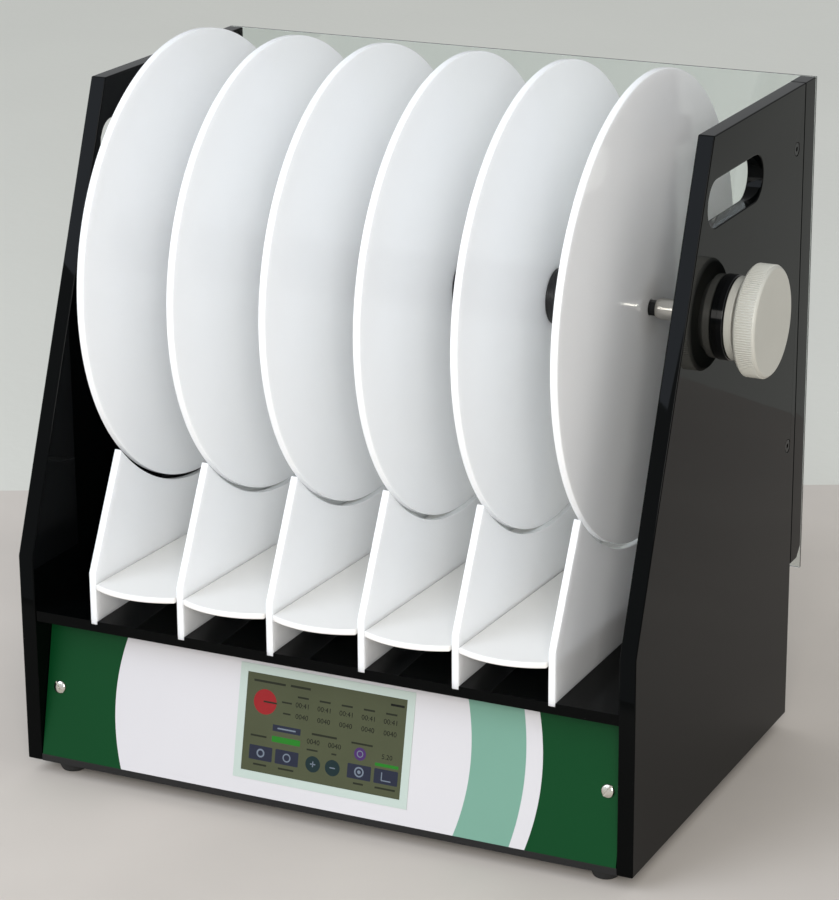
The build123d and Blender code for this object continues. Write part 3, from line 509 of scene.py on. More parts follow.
def softened(profile: Sequence[Point], radius: float, steps: int = 3) -> list[Point]:
    """Rounds every corner of a closed profile that turns more than a little.

    Args:
        profile: Corner points.
        radius: Rounding, cut back where an edge is short.
        steps: Pieces per corner.

    Returns:
        The profile with rounded corners.
    """
    points: list[Point] = []
    count = len(profile)
    for i in range(count):
        here = Vector(profile[i])
        before = Vector(profile[i - 1]) - here
        after = Vector(profile[(i + 1) % count]) - here
        turn = math.pi - before.angle(after)
        if here.y < ON_POLE or turn < math.radians(20):
            points.append((here.x, here.y))
            continue
        reach = min(radius, 0.45 * before.length, 0.45 * after.length)
        start = here + before.normalized() * reach
        end = here + after.normalized() * reach
        for k in range(steps + 1):
            t = k / steps
            spot = start.lerp(here, t).lerp(here.lerp(end, t), t)
            points.append((spot.x, spot.y))
    return points


def turned_mesh(name: str, profile: Sequence[Point], steps: int) -> Mesh:
    """Turns a closed profile of (x, radius) points about the X axis.

    Args:
        name: Name of the mesh.
        profile: Closed profile; points at radius 0 become poles.
        steps: Pieces round the axis.

    Returns:
        A closed mesh about the X axis with its faces outward.
    """
    bm = bmesh.new()
    rings = []
    angles = [math.tau * k / steps for k in range(steps)]
    for x, radius in profile:
        if radius < ON_POLE:
            rings.append([bm.verts.new((x, 0, 0))] * steps)
            continue
        rings.append([bm.verts.new((x, radius * math.cos(a), radius * math.sin(a))) for a in angles])
    for i, ring in enumerate(rings):
        other = rings[(i + 1) % len(rings)]
        for k in range(steps):
            corners = [ring[k], ring[(k + 1) % steps], other[(k + 1) % steps], other[k]]
            unique = list(dict.fromkeys(corners))
            if len(unique) > 2:
                bm.faces.new(unique)
    bmesh.ops.recalc_face_normals(bm, faces=bm.faces)
    return mesh_from(bm, name)


def turned(
    name: str,
    profile: Sequence[Point],
    finish: Finish,
    steps: int = 96,
    round_off: float = 0.4 * MM,
    centre: Sequence[float] = (0.0, 0.0, 0.0),
) -> Object:
    """Lathe-turned piece with softened corners.

    Args:
        name: Name of the piece.
        profile: Closed profile of (x, radius) points.
        finish: Its finish.
        steps: Pieces round the axis.
        round_off: Corner rounding.
        centre: Point that the profile's x = 0 on the axis goes to.

    Returns:
        The finished piece.
    """
    made = object_of(name, turned_mesh(name, softened(profile, round_off), steps))
    made.data.transform(Matrix.Translation(centre))
    made.data.materials.append(finish.material())
    return smooth(made)


def joined(name: str, parts: Sequence[Object]) -> Object:
    """Joins plain pieces into one, keeping their materials.

    Args:
        name: Name of the joined piece.
        parts: Pieces; they are used up.

    Returns:
        The joined piece.
    """
    bm = bmesh.new()
    materials: list[Material] = []
    for part in parts:
        slots = []
        for material in part.data.materials:
            if material not in materials:
                materials.append(material)
            slots.append(materials.index(material))
        first = len(bm.faces)
        bm.from_mesh(part.data)
        bm.faces.ensure_lookup_table()
        for face in bm.faces[first:]:
            face.material_index = slots[face.material_index] if slots else 0
    mesh = mesh_from(bm, name)
    for material in materials:
        mesh.materials.append(material)
    for part in parts:
        bpy.data.objects.remove(part)
    return object_of(name, mesh)


def place(piece: Object, body: Body, slot: str, *nodes: str) -> None:
    """Hangs a finished piece on the body it rides on and hides the nodes it stands for."""
    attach(piece, body.value)
    if nodes:
        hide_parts(*nodes)
    LOG.info("%s rides on %s, %d faces", piece.name, body.value, len(piece.data.polygons))


# ---------------------------------------------------------------- geometry node trees
class Pattern:
    """A Geometry Nodes tree with named inputs that repeats an item and ends as one plain mesh."""

    def __init__(self, name: str, **inputs: str) -> None:
        """Starts the tree.

        Args:
            name: Name of the tree.
            **inputs: Kind of each input besides the item and its finish, by name.
        """
        self.tree = bpy.data.node_groups.new(name, "GeometryNodeTree")
        self.tree.interface.new_socket("Geometry", in_out="INPUT", socket_type="NodeSocketGeometry")
        for label, kind in {"Item": "Object", "Finish": "Material", **inputs}.items():
            self.tree.interface.new_socket(label, in_out="INPUT", socket_type="NodeSocket" + kind)
        self.tree.interface.new_socket("Geometry", in_out="OUTPUT", socket_type="NodeSocketGeometry")
        self.value = self.tree.nodes.new("NodeGroupInput").outputs

    def copies(self, points: NodeSocket, **turn: NodeSocket) -> NodeSocket:
        """Puts the item on points.

        Args:
            points: Points that get the item.
            **turn: The copies' Rotation, if they are turned.

        Returns:
            The geometry of all copies.
        """
        item = add(self.tree, "GeometryNodeObjectInfo", {"Object": self.value["Item"]}).outputs["Geometry"]
        inputs = {"Points": points, "Instance": item, **turn}
        return add(self.tree, "GeometryNodeInstanceOnPoints", inputs).outputs[0]

    def end(self, geometry: NodeSocket) -> None:
        """Ends the tree in real geometry with its material."""
        real = add(self.tree, "GeometryNodeRealizeInstances", {"Geometry": geometry})
        inputs = {"Geometry": real.outputs[0], "Material": self.value["Finish"]}
        dressed = add(self.tree, "GeometryNodeSetMaterial", inputs)
        out = self.tree.nodes.new("NodeGroupOutput")
        self.tree.links.new(dressed.outputs[0], out.inputs[0])

    def make(
        self,
        name: str,
        item: Object,
        finish: Finish,
        host: Optional[Mesh] = None,
        **values: object,
    ) -> Object:
        """Runs the tree and returns its result as a plain piece.

        Args:
            name: Name of the piece.
            item: Object that is repeated; it is used up.
            finish: Finish of the whole piece.
            host: Mesh that the tree starts from.
            **values: Other inputs by name.

        Returns:
            The finished piece.
        """
        made = object_of(name, host or bpy.data.meshes.new(name))
        modifier = made.modifiers.new("pattern", "NODES")
        modifier.node_group = self.tree
        values = {"Item": item, "Finish": finish.material(), **values}
        for socket in self.tree.interface.items_tree:
            if socket.in_out == "INPUT" and socket.name in values:
                modifier[socket.identifier] = values[socket.name]
        made.update_tag()
        bpy.context.view_layer.update()
        piece = settle(made)
        bpy.data.objects.remove(item)
        return piece


def row_pattern() -> Pattern:
    """Tree that repeats an item along a straight row."""
    pattern = Pattern("row_of_items", Count="Int", First="Vector", Step="Vector")
    count, first, step = (pattern.value[label] for label in ("Count", "First", "Step"))
    line = add(pattern.tree, "GeometryNodeMeshLine", {"Count": count, "Start Location": first, "Offset": step})
    pattern.end(pattern.copies(line.outputs[0]))
    return pattern


def ring_pattern() -> Pattern:
    """Tree that repeats an item round the rotor's direction and keeps the host's own mesh with it."""
    pattern = Pattern("ring_of_items", Count="Int", Centre="Vector")
    tree = pattern.tree
    count, centre = pattern.value["Count"], pattern.value["Centre"]
    still = (0.0, 0.0, 0.0)
    line = add(tree, "GeometryNodeMeshLine", {"Count": count, "Start Location": centre, "Offset": still})
    number = add(tree, "GeometryNodeInputIndex")
    share = add(tree, "ShaderNodeMath", {0: number.outputs[0], 1: count}, operation="DIVIDE")
    angle = add(tree, "ShaderNodeMath", {0: share.outputs[0], 1: math.tau}, operation="MULTIPLY")
    turn = add(tree, "ShaderNodeCombineXYZ", {"X": angle.outputs[0]})
    copies = pattern.copies(line.outputs[0], Rotation=turn.outputs[0])
    both = add(tree, "GeometryNodeJoinGeometry", {"Geometry": copies})
    tree.links.new(pattern.value["Geometry"], both.inputs[0])
    pattern.end(both.outputs[0])
    return pattern


def spots_pattern() -> Pattern:
    """Tree that puts an item on each point of its host, turned by the point's own angles."""
    pattern = Pattern("items_on_spots")
    turn = add(pattern.tree, "GeometryNodeInputNamedAttribute", {"Name": "turn"}, data_type="FLOAT_VECTOR")
    pattern.end(pattern.copies(pattern.value["Geometry"], Rotation=turn.outputs[0]))
    return pattern


def spots(name: str, places: Sequence[Sequence[float]], turns: Sequence[Sequence[float]]) -> Mesh:
    """Makes the points that an item is put on.

    Args:
        name: Name of the mesh.
        places: Positions.
        turns: Euler angles for each position, in radians.

    Returns:
        A mesh of loose points that carry their angles.
    """
    mesh = bpy.data.meshes.new(name)
    mesh.from_pydata([tuple(p) for p in places], [], [])
    attribute = mesh.attributes.new("turn", "FLOAT_VECTOR", "POINT")
    attribute.data.foreach_set("vector", [v for turn in turns for v in turn])
    return mesh


ROW = row_pattern()
RING = ring_pattern()
SPOTS = spots_pattern()


# ---------------------------------------------------------------- sub-assemblies
@dataclass
class SideFrame:
    """Two black side panels with hand slots, and the flat-head screws in them."""

    kink_height: float = 120.0 * MM
    setback: float = 95.5 * MM
    slot_length: float = 82.0 * MM
    slot_height: float = 25.0 * MM
    slot_drop: float = 35.8 * MM
    slot_edge: float = 6.5 * MM
    bush_radius: float = 15.0 * MM
    screw_radius: float = 3.6 * MM
    screw_inset: float = 11.2 * MM
    screw_play: float = 0.12 * MM
    screw_length: float = 9.0 * MM
    socket_depth: float = 2.5 * MM
    sunk: float = 0.15 * MM
    edge: float = 0.7 * MM

    def build(self) -> None:
        """Builds both panels and their screws."""
        for node in ("left_side_panel", "right_side_panel"):
            self.build_panel(node)
        self.build_screws()

    def outline(self, low: Vector, high: Vector) -> list[Point]:
        """Outline of a panel as (y, z) points."""
        kink = low.z + self.kink_height
        slope = [(low.y + self.setback, high.z), (low.y, kink)]
        return [(low.y, low.z), (high.y, low.z), (high.y, high.z), *slope]

    def build_panel(self, node: str) -> None:
        """Builds one panel with its slot and holes."""
        low, high = box_of(node)
        kink = low.z + self.kink_height
        z = high.z - self.slot_drop
        slope = low.y + self.setback * (z - kink) / (high.z - kink)
        radius = self.slot_height / 2
        front = slope + self.slot_edge + radius
        rear = front + self.slot_length - 2 * radius
        slot = arc((rear, z), radius, -90, 90, 16) + arc((front, z), radius, 90, 270, 16)
        loops = [self.outline(low, high), slot]
        if node == "right_side_panel":
            loops.append(circle(ON_AXIS[1:], self.bush_radius))
        for height in self.screw_heights():
            loops.append(circle((high.y - self.screw_inset, height), self.screw_radius, 24))
        thick = high.x - low.x
        panel = cut_sheet(node + "_polished", loops, thick, self.edge, BLACK_SHEET, shift=(low.x, 0, 0))
        place(panel, Body.ROOT, "black_acrylic", node)

    def screw_heights(self) -> list[float]:
        """Heights of the side screws, low one first."""
        low, high = box_of("side_screws")
        return [low.z + self.screw_radius, high.z - self.screw_radius]

    def build_screws(self) -> None:
        """Builds the four screws, each a flat head with a hexagon socket, as long as the panel is thick."""
        low, high = box_of("side_screws")
        radius = self.screw_radius - self.screw_play
        solid = self.screw_length - self.socket_depth
        rim = circle((0, 0), radius, 32)
        socket = circle((0, 0), radius / 2.4, 6)
        body = object_of("screw_body", sheet_mesh("screw_body", [rim], solid))
        head = object_of("screw_head", sheet_mesh("screw_head", [rim, socket], self.socket_depth))
        head.data.transform(Matrix.Translation((0, 0, solid)))
        screw = joined("screw", [body, head])
        screw.data.transform(Matrix.Translation((0, 0, -self.screw_length - self.sunk)))
        y = (low.y + high.y) / 2
        places = [(x, y, z) for x in (low.x, high.x) for z in self.screw_heights()]
        turns = [(0, -math.pi / 2, 0)] * 2 + [(0, math.pi / 2, 0)] * 2
        piece = SPOTS.make("side_screw_heads", screw, BLACK_OXIDE, host=spots("side_spots", places, turns))
        place(piece, Body.ROOT, "black_screw", "side_screws")


@dataclass
class LaneDeck:
    """Black deck with the six white lane walls that stand in it."""

    lean: float = 27.4
    kink: float = 27.7 * MM
    groove: float = 2.0 * MM
    gap: float = 2.5 * MM
    hinge_radius: float = 2.0 * MM
    edge: float = 0.45 * MM

    def build(self) -> None:
        """Builds the walls and dresses the deck."""
        dress("deck_shelf", BLACK_SHEET)
        dress("tray_hinge_rod", GROUND_STEEL)
        dress("tray_stops", RUBBER)
        dress("tray_catches", BLACK_MOULDED)
        low, high = box_of("lane_wall_1")
        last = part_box("lane_wall_6")[0][0]
        radius = radius_of("disc_1") + self.gap
        deck = low.z + self.groove
        lean = math.radians(self.lean)
        y, z = ON_AXIS[1:]
        start = Vector((low.y, deck + self.kink))
        ahead = Vector((math.sin(lean), math.cos(lean)))
        back = Vector((y, z)) - start
        along = back.dot(ahead)
        run = along - math.sqrt(along**2 - back.length_squared + radius**2)
        corner = start + ahead * run
        first = math.degrees(math.atan2(corner.y - z, corner.x - y))
        final = math.degrees(math.atan2(high.z - z, high.y - y))
        hollow = arc((y, z), radius, first, final, 64)
        outline = [(low.y, low.z), (low.y, start.y), *hollow, (high.y, low.z)]
        rod = sum(box_of("tray_hinge_rod"), Vector()) / 2
        hinge = circle((rod.y, rod.z), self.hinge_radius, 24)
        wall = cut_sheet("wall", [outline, hinge], high.x - low.x, self.edge, WHITE_SHEET)
        step = (last - low.x) / 5
        walls = ROW.make("lane_walls", wall, WHITE_SHEET, Count=6, First=(low.x, 0, 0), Step=(step, 0, 0))
        place(walls, Body.ROOT, "white_acrylic", *[f"lane_wall_{i}" for i in range(1, 7)])


@dataclass
class TripTrays:
    """Five hinged trays, each a white plate with a curved lip, on a barrel."""

    slope: float = 2.0
    thickness: float = 3.3 * MM
    under: float = 1.8 * MM
    tail: float = 18.0 * MM
    sag: float = 6.5 * MM
    barrel: float = 4.2 * MM
    bore: float = 2.05 * MM
    magnet: float = 4.0 * MM
    magnet_back: float = 12.0 * MM
    magnet_thick: float = 3.0 * MM
    edge: float = 0.8 * MM

    def build(self) -> None:
        """Builds one tray for each lane."""
        for i in range(1, 6):
            self.build_tray(i)

    def build_tray(self, number: int) -> None:
        """Builds the tray of one lane about its hinge."""
        node = f"tray_{number}"
        low, high = box_of(node)
        hinge = joint_place(f"tray_{number}_drop")
        half = (high.x - low.x) / 2
        slope = math.radians(self.slope)
        reach = (hinge.y - low.y + self.under * math.sin(slope)) / math.cos(slope)
        radius = (half**2 + self.sag**2) / (2 * self.sag)
        spread = math.degrees(math.asin(half / radius))
        lip = arc((0, -reach + radius), radius, 270 - spread, 270 + spread, 24)
        outline = [*lip, (half, self.tail), (-half, self.tail)]
        flat = Matrix.Identity(4)
        plate = cut_sheet("plate", [outline], self.thickness, self.edge, TRAY_SHEET, flat, (0, 0, self.under))
        profile = [(-half, self.bore), (-half, self.barrel), (half, self.barrel), (half, self.bore)]
        barrel = turned("barrel", profile, TRAY_SHEET, 32)
        round_edge = circle((0, self.magnet_back), self.magnet, 32)
        disc = object_of("magnet", sheet_mesh("magnet", [round_edge], self.magnet_thick))
        disc.data.transform(Matrix.Translation((0, 0, self.under - self.magnet_thick)))
        disc.data.materials.append(NICKEL.material())
        tray = joined(node + "_plate", [plate, barrel, disc])
        tray.data.transform(Matrix.Translation(hinge) @ Matrix.Rotation(-slope, 4, "X"))
        place(smooth(tray, 50.0), Body(f"trip_tray_{number}"), "white_acrylic", node)


@dataclass
class Rotor:
    """Six lane discs and five grooved black sleeves on the rod."""

    edge: float = 0.6 * MM
    end_bore: float = 4.5 * MM
    core: float = 8.0 * MM
    groove_pitch: float = 1.25 * MM
    groove_depth: float = 0.3 * MM

    def build(self) -> None:
        """Builds the discs and the sleeves."""
        low, high = box_of("disc_1")
        radius = radius_of("disc_1")
        width = high.x - low.x
        step = (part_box("disc_6")[0][0] - low.x) / 5
        for name, bore, count, first, stride in (
            ("end_discs", self.end_bore, 2, low.x, 5 * step),
            ("inner_discs", self.core, 4, low.x + step, step),
        ):
            profile = [(0, bore), (0, radius), (width, radius), (width, bore)]
            disc = turned("disc", profile, WHITE_SHEET, 192, self.edge, ON_AXIS)
            discs = ROW.make(name, disc, WHITE_SHEET, Count=count, First=(first, 0, 0), Step=(stride, 0, 0))
            nodes = ("disc_1", "disc_6") if count == 2 else ("disc_2", "disc_3", "disc_4", "disc_5")
            place(discs, Body.ROTOR, "white_acrylic", *nodes)
        self.build_sleeves(low.x + width, step, step - width)
        dress("rod_core", MACHINED)

    def build_sleeves(self, first: float, step: float, length: float) -> None:
        """Builds the five sleeves, turned with fine grooves for grip."""
        radius = radius_of("rod_sleeves")
        count = int(length / self.groove_pitch)
        pitch = length / count
        profile = [(0.0, self.core), (0.0, radius - self.groove_depth)]
        for i in range(count):
            x = i * pitch
            profile += [(x + 0.3 * pitch, radius), (x + 0.7 * pitch, radius)]
            if i < count - 1:
                profile.append((x + pitch, radius - self.groove_depth))
        profile += [(length, radius - self.groove_depth), (length, self.core)]
        mesh = turned_mesh("sleeve", profile, 72)
        mesh.transform(Matrix.Translation(ON_AXIS))
        sleeve = smooth(object_of("sleeve", mesh), 80.0)
        row = {"Count": 5, "First": (first, 0, 0), "Step": (step, 0, 0)}
        sleeves = ROW.make("rod_sleeves_grooved", sleeve, BLACK_ACETAL, **row)
        place(sleeves, Body.ROTOR, "ribbed_black", "rod_sleeves")


@dataclass
class KnobGroup:
    """Release knob with its fine ribs, the ring, the bright shaft and the collar it turns in."""

    ribs: int = 132
    rib_radius: float = 0.5 * MM
    rib_clear: float = 1.3 * MM
    knob_edge: float = 1.1 * MM
    shaft_radius: float = 5.7 * MM
    shaft_cut: float = 1.6 * MM
    ring_width: float = 4.4 * MM
    neck_radius: float = 19.0 * MM
    bush_radius: float = 15.0 * MM
    bush_edge: float = 0.6 * MM
    bush_play: float = 0.05 * MM

    def build(self) -> None:
        """Builds the knob, ring, shaft and collar, and dresses the drive tip and the nut."""
        self.build_knob()
        self.build_ring()
        self.build_shaft()
        self.build_collar()
        dress("bush_nut", BLACK_MOULDED)

    def build_knob(self) -> None:
        """Builds the knob: a turned core with straight ribs round it."""
        low, high = box_of("release_knob")
        root = radius_of("release_knob") - self.rib_radius
        edge = self.knob_edge
        x0, x1 = low.x, high.x
        middle = (x0 + x1) / 2
        profile = [
            (x0, self.shaft_radius),
            (x0, root - edge),
            (x0 + edge, root),
            (x1 - edge, root),
            (x1, root - edge),
            (x1, 0.0),
            (middle, 0.0),
            (middle, self.shaft_radius),
        ]
        core = turned("knob_core", profile, WHITE_ACETAL, 264, 0.5 * MM, ON_AXIS)
        r = self.rib_radius
        x0, x1 = x0 + self.rib_clear, x1 - self.rib_clear
        section = [(x0, 0.0), (x0 + r, r), (x1 - r, r), (x1, 0.0)]
        rib = object_of("rib", turned_mesh("rib", section, 8))
        rib.data.transform(Matrix.Translation((0, 0, root)))
        rib = smooth(rib, 70.0)
        ribs = {"Count": self.ribs, "Centre": ON_AXIS}
        knob = RING.make("ribbed_release_knob", rib, WHITE_ACETAL, host=core.data, **ribs)
        bpy.data.objects.remove(core)
        place(knob, Body.KNOB, "white_plastic", "release_knob")

    def build_ring(self) -> None:
        """Builds the white ring and neck behind the knob."""
        low, high = box_of("knob_ring")
        radius = radius_of("knob_ring")
        step = low.x + self.ring_width
        neck = self.neck_radius
        r = self.shaft_radius
        profile = [(low.x, r), (low.x, radius), (step, radius), (step, neck), (high.x, neck), (high.x, r)]
        ring = turned("white_ring", profile, WHITE_ACETAL, 144, 0.8 * MM, ON_AXIS)
        place(ring, Body.KNOB, "white_plastic", "knob_ring")

    def build_shaft(self) -> None:
        """Builds the bright shaft with its tapered end; the dark tip ahead of it is the frame's own."""
        low, high = box_of("knob_shaft")
        r = self.shaft_radius
        cut = self.shaft_cut
        profile = [(low.x, 0), (low.x, r - cut), (low.x + cut / 2, r - cut / 3), (low.x + 2 * cut, r)]
        profile += [(high.x, r), (high.x, 0)]
        shaft = turned("bright_knob_shaft", profile, CHROMED, 96, 0.3 * MM, ON_AXIS)
        place(shaft, Body.KNOB, "bright_steel", "knob_shaft")
        dress("drive_tip", GLOSS_COLLAR)

    def build_collar(self) -> None:
        """Builds the black collar bush of the right panel."""
        low, high = box_of("bearing_bush")
        radius = radius_of("bearing_bush")
        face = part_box("right_side_panel")[1][0]
        edge = self.bush_edge
        bore = self.shaft_radius + self.bush_play
        profile = [(low.x, bore), (low.x, self.bush_radius), (face, self.bush_radius)]
        profile += [(face, radius), *arc((high.x - edge, radius - edge), edge, 90, 0, 4), (high.x, bore)]
        collar = turned("black_collar_bush", profile, GLOSS_COLLAR, 144, self.bush_play, ON_AXIS)
        place(collar, Body.ROOT, "black_plastic", "bearing_bush")


@dataclass
class ControlPanel:
    """Sloping control panel: printed film, display and two slotted screws."""

    tilt: float = 12.2
    film: float = 0.4 * MM
    bezel_width: float = 104.0 * MM
    bezel_height: float = 63.0 * MM
    screen_up: float = 40.4 * MM
    screen_width: float = 95.0 * MM
    screen_height: float = 53.9 * MM
    screen_thick: float = 3.5 * MM
    screen_proud: float = 0.1 * MM
    screw_radius: float = 3.7 * MM
    screw_up: float = 39.3 * MM
    screw_lip: float = 0.5 * MM
    screw_dome: float = 1.0 * MM
    screw_shank: float = 4.0 * MM
    slot_width: float = 1.0 * MM
    slot_floor: float = 0.6 * MM

    def __post_init__(self) -> None:
        """Sets the panel's own axes: x across, up the slope and out of it."""
        low, high = box_of("front_overlay")
        lean = math.radians(self.tilt)
        self.up = Vector((0, math.sin(lean), math.cos(lean)))
        self.out = Vector((0, -math.cos(lean), math.sin(lean)))
        self.origin = Vector(((low.x + high.x) / 2, low.y, low.z))
        self.half = (high.x - low.x) / 2
        self.length = (high.z - low.z) / math.cos(lean)

    def matrix(self, x: float, up: float, out: float) -> Matrix:
        """Places a flat drawing at a point of the panel, its z outward."""
        point = self.origin + Vector((x, 0, 0)) + self.up * up + self.out * out
        turn = Matrix((Vector((1, 0, 0)), self.up, self.out)).transposed().to_4x4()
        return Matrix.Translation(point) @ turn

    def build(self) -> None:
        """Builds the film, the display and the screws, and dresses the rest."""
        self.build_film()
        self.build_display()
        self.build_screws()
        dress("front_plate", POWDER_COAT)
        dress("display_frame", FILM_PALE)
        dress("display_module", DISPLAY_BACK)

    def build_film(self) -> None:
        """Builds the printed film as strips between curved colour borders, round the display's window."""
        borders = [
            self.bow((-123.1, 72.6), (-127.4, 30.5), (-121.4, 0.5)),
            self.bow((82.1, 72.7), (86.0, 46.5), (79.7, 0.6)),
            self.bow((113.7, 73.1), (117.0, 47.3), (111.9, 1.1)),
            self.bow((122.4, 73.0), (126.2, 50.4), (120.7, 0.8)),
        ]
        half = self.bezel_width / 2
        low = self.screen_up - self.bezel_height / 2
        high = self.screen_up + self.bezel_height / 2
        rows = sorted({*[self.length * i / 28 for i in range(29)], low, high})
        green, sage, stripe, last = ([border(s) for s in rows] for border in borders)
        outer, window = [self.half] * len(rows), [half] * len(rows)
        columns = [[-x for x in outer], green, [-x for x in window], window, sage, stripe, last, outer]
        inks = [1, 0, 0, 0, 2, 0, 1]
        bm = bmesh.new()
        grid = [[bm.verts.new((x, s, 0)) for x, s in zip(column, rows)] for column in columns]
        for c, ink in enumerate(inks):
            for r in range(len(rows) - 1):
                if c == 2 and low - 1e-9 <= rows[r] < high - 1e-9:
                    continue
                face = bm.faces.new((grid[c][r], grid[c + 1][r], grid[c + 1][r + 1], grid[c][r + 1]))
                face.material_index = ink
        mesh = mesh_from(bm, "printed_film")
        mesh.transform(self.matrix(0, 0, 0))
        for finish in (FILM_WHITE, FILM_GREEN, FILM_SAGE):
            mesh.materials.append(finish.material())
        film = object_of("printed_film", mesh)
        modifier = film.modifiers.new("thickness", "SOLIDIFY")
        modifier.thickness = self.film
        modifier.offset = -1.0
        place(settle(film), Body.ROOT, "overlay_film", "front_overlay")

    @staticmethod
    def bow(top: Point, middle: Point, bottom: Point) -> Callable[[float], float]:
        """Fits a curved colour border through three points, in millimetres.

        Args:
            top: Upper point, across and up the slope.
            middle: Middle point.
            bottom: Lower point.

        Returns:
            A function from the height up the slope to the place across, both in metres.
        """
        (x1, s1), (x2, s2), (x3, s3) = top, middle, bottom

        def across(s: float) -> float:
            """Place across at a height up the slope."""
            t = s / MM
            a = x1 * (t - s2) * (t - s3) / ((s1 - s2) * (s1 - s3))
            b = x2 * (t - s1) * (t - s3) / ((s2 - s1) * (s2 - s3))
            c = x3 * (t - s1) * (t - s2) / ((s3 - s1) * (s3 - s2))
            return (a + b + c) * MM

        return across

    def build_display(self) -> None:
        """Builds the display behind its glass, with generic figures and buttons."""
        low, high = box_of("touch_glass")
        thick, face = self.screen_thick, self.screen_proud
        w, h = self.screen_width / 2, self.screen_height / 2
        outline = rectangle((-w, -h), (w, h))
        turn = self.matrix(0, self.screen_up, face - thick)
        screen = cut_sheet("display_screen", [outline], thick, 0.15 * MM, SCREEN_OLIVE, turn)
        place(screen, Body.ROOT, "touch_glass", "touch_glass")
        art = ScreenArt(self, face)
        place(art.build(), Body.ROOT, "touch_glass")
        LOG.info("display face %.1f mm wide", (high.x - low.x) / MM)

    def build_screws(self) -> None:
        """Builds the two bright slotted screws, their slots at odd angles as fitted."""
        r = self.screw_radius
        lip, dome, shank = self.screw_lip, self.screw_dome, self.screw_shank
        profile = [(-shank, 0), (-shank, r / 2), (0, r / 2), (0, r), (lip, r)]
        profile += [(lip + dome * math.sin(a), r * (0.25 + 0.75 * math.cos(a))) for a in (0.4, 0.8, 1.2, 1.5)]
        head = object_of("screw", turned_mesh("screw", [*profile, (lip + dome, 0)], 48))
        slot = rectangle((-2 * r, -self.slot_width / 2), (2 * r, self.slot_width / 2))
        cutter = object_of("slot", sheet_mesh("slot", [slot], r))
        head.data.transform(Matrix.Rotation(-math.pi / 2, 4, "Y"))
        cutter.data.transform(Matrix.Translation((0, 0, self.slot_floor)))
        modifier = head.modifiers.new("slot", "BOOLEAN")
        modifier.operation = "DIFFERENCE"
        modifier.object = cutter
        modifier.solver = "EXACT"
        head = smooth(settle(head), 40.0)
        bpy.data.objects.remove(cutter)
        low, high = box_of("face_screws")
        across = (high.x - low.x) / 2 - r
        places, turns = [], []
        for x, degrees in ((-across, -50.0), (across, 55.0)):
            whole = self.matrix(x, self.screw_up, 0.0) @ Matrix.Rotation(math.radians(degrees), 4, "Z")
            places.append(whole.to_translation())
            turns.append(tuple(whole.to_euler()))
        piece = SPOTS.make("slotted_panel_screws", head, NICKEL, host=spots("panel_spots", places, turns))
        place(piece, Body.ROOT, "bright_steel", "face_screws")


# the display's picture, in millimetres from the panel's middle and foot
# x, up, radius, ink, layer
SCREEN_DOTS = (
    (-36.0, 52.2, 6.9, SCREEN_RED),
    (22.5, 33.8, 3.5, SCREEN_VIOLET),
    (-4.8, 23.4, 4.4, SCREEN_TEAL),
    (6.9, 23.4, 4.4, SCREEN_TEAL),
    (22.7, 24.0, 1.0, SCREEN_PALE, 1),
)
# x, up, outer and inner radius
SCREEN_RINGS = (
    (22.5, 33.8, 1.9, 1.4),
    (-36.4, 24.0, 2.4, 1.5),
    (-20.6, 24.0, 2.4, 1.7),
    (22.7, 24.0, 2.8, 2.0),
)
# x, up, width, height, ink, layer
SCREEN_BARS = (
    (-33.0, 52.4, 8.0, 0.9, SCREEN_FAINT, 1),
    (42.0, 63.2, 8.0, 1.2, SCREEN_DARK),
    (-21.9, 39.2, 16.8, 3.5, SCREEN_SLATE),
    (-21.9, 39.2, 11.0, 0.8, SCREEN_PALE, 1),
    (-21.8, 33.1, 17.0, 3.2, SCREEN_GREEN),
    (38.5, 30.1, 13.8, 1.7, SCREEN_GREEN),
    (-4.8, 23.4, 3.2, 0.6, SCREEN_PALE, 1),
    (-4.8, 23.4, 0.6, 3.2, SCREEN_PALE, 1),
    (6.9, 23.4, 3.2, 0.6, SCREEN_PALE, 1),
    (36.0, 24.0, 0.6, 4.6, SCREEN_PALE, 1),
    (38.6, 21.9, 5.8, 0.6, SCREEN_PALE, 1),
)
SCREEN_CAPTIONS = (
    (-34.0, 63.2, 19.0, 1.2),
    (-15.5, 63.4, 12.0, 1.2),
    (-23.0, 53.8, 6.0, 0.9),
    (-22.6, 47.8, 4.6, 0.9),
    (-38.4, 33.2, 9.6, 1.0),
    (0.7, 39.7, 15.0, 1.1),
    (-5.8, 30.9, 6.6, 0.9),
    (7.2, 30.9, 3.0, 0.9),
    (23.2, 39.2, 12.6, 1.0),
)
# x of each icon button and the width of the caption under it
SCREEN_BUTTONS = ((-36.4, 8.0), (-20.6, 9.4), (22.7, 6.0), (38.5, 12.0))
# figures, x, up, size
SCREEN_FIGURES = (("0040", -5.6, 35.3, 3.9), ("0040", 7.2, 35.3, 3.9), ("5.20", 38.3, 34.6, 3.7))


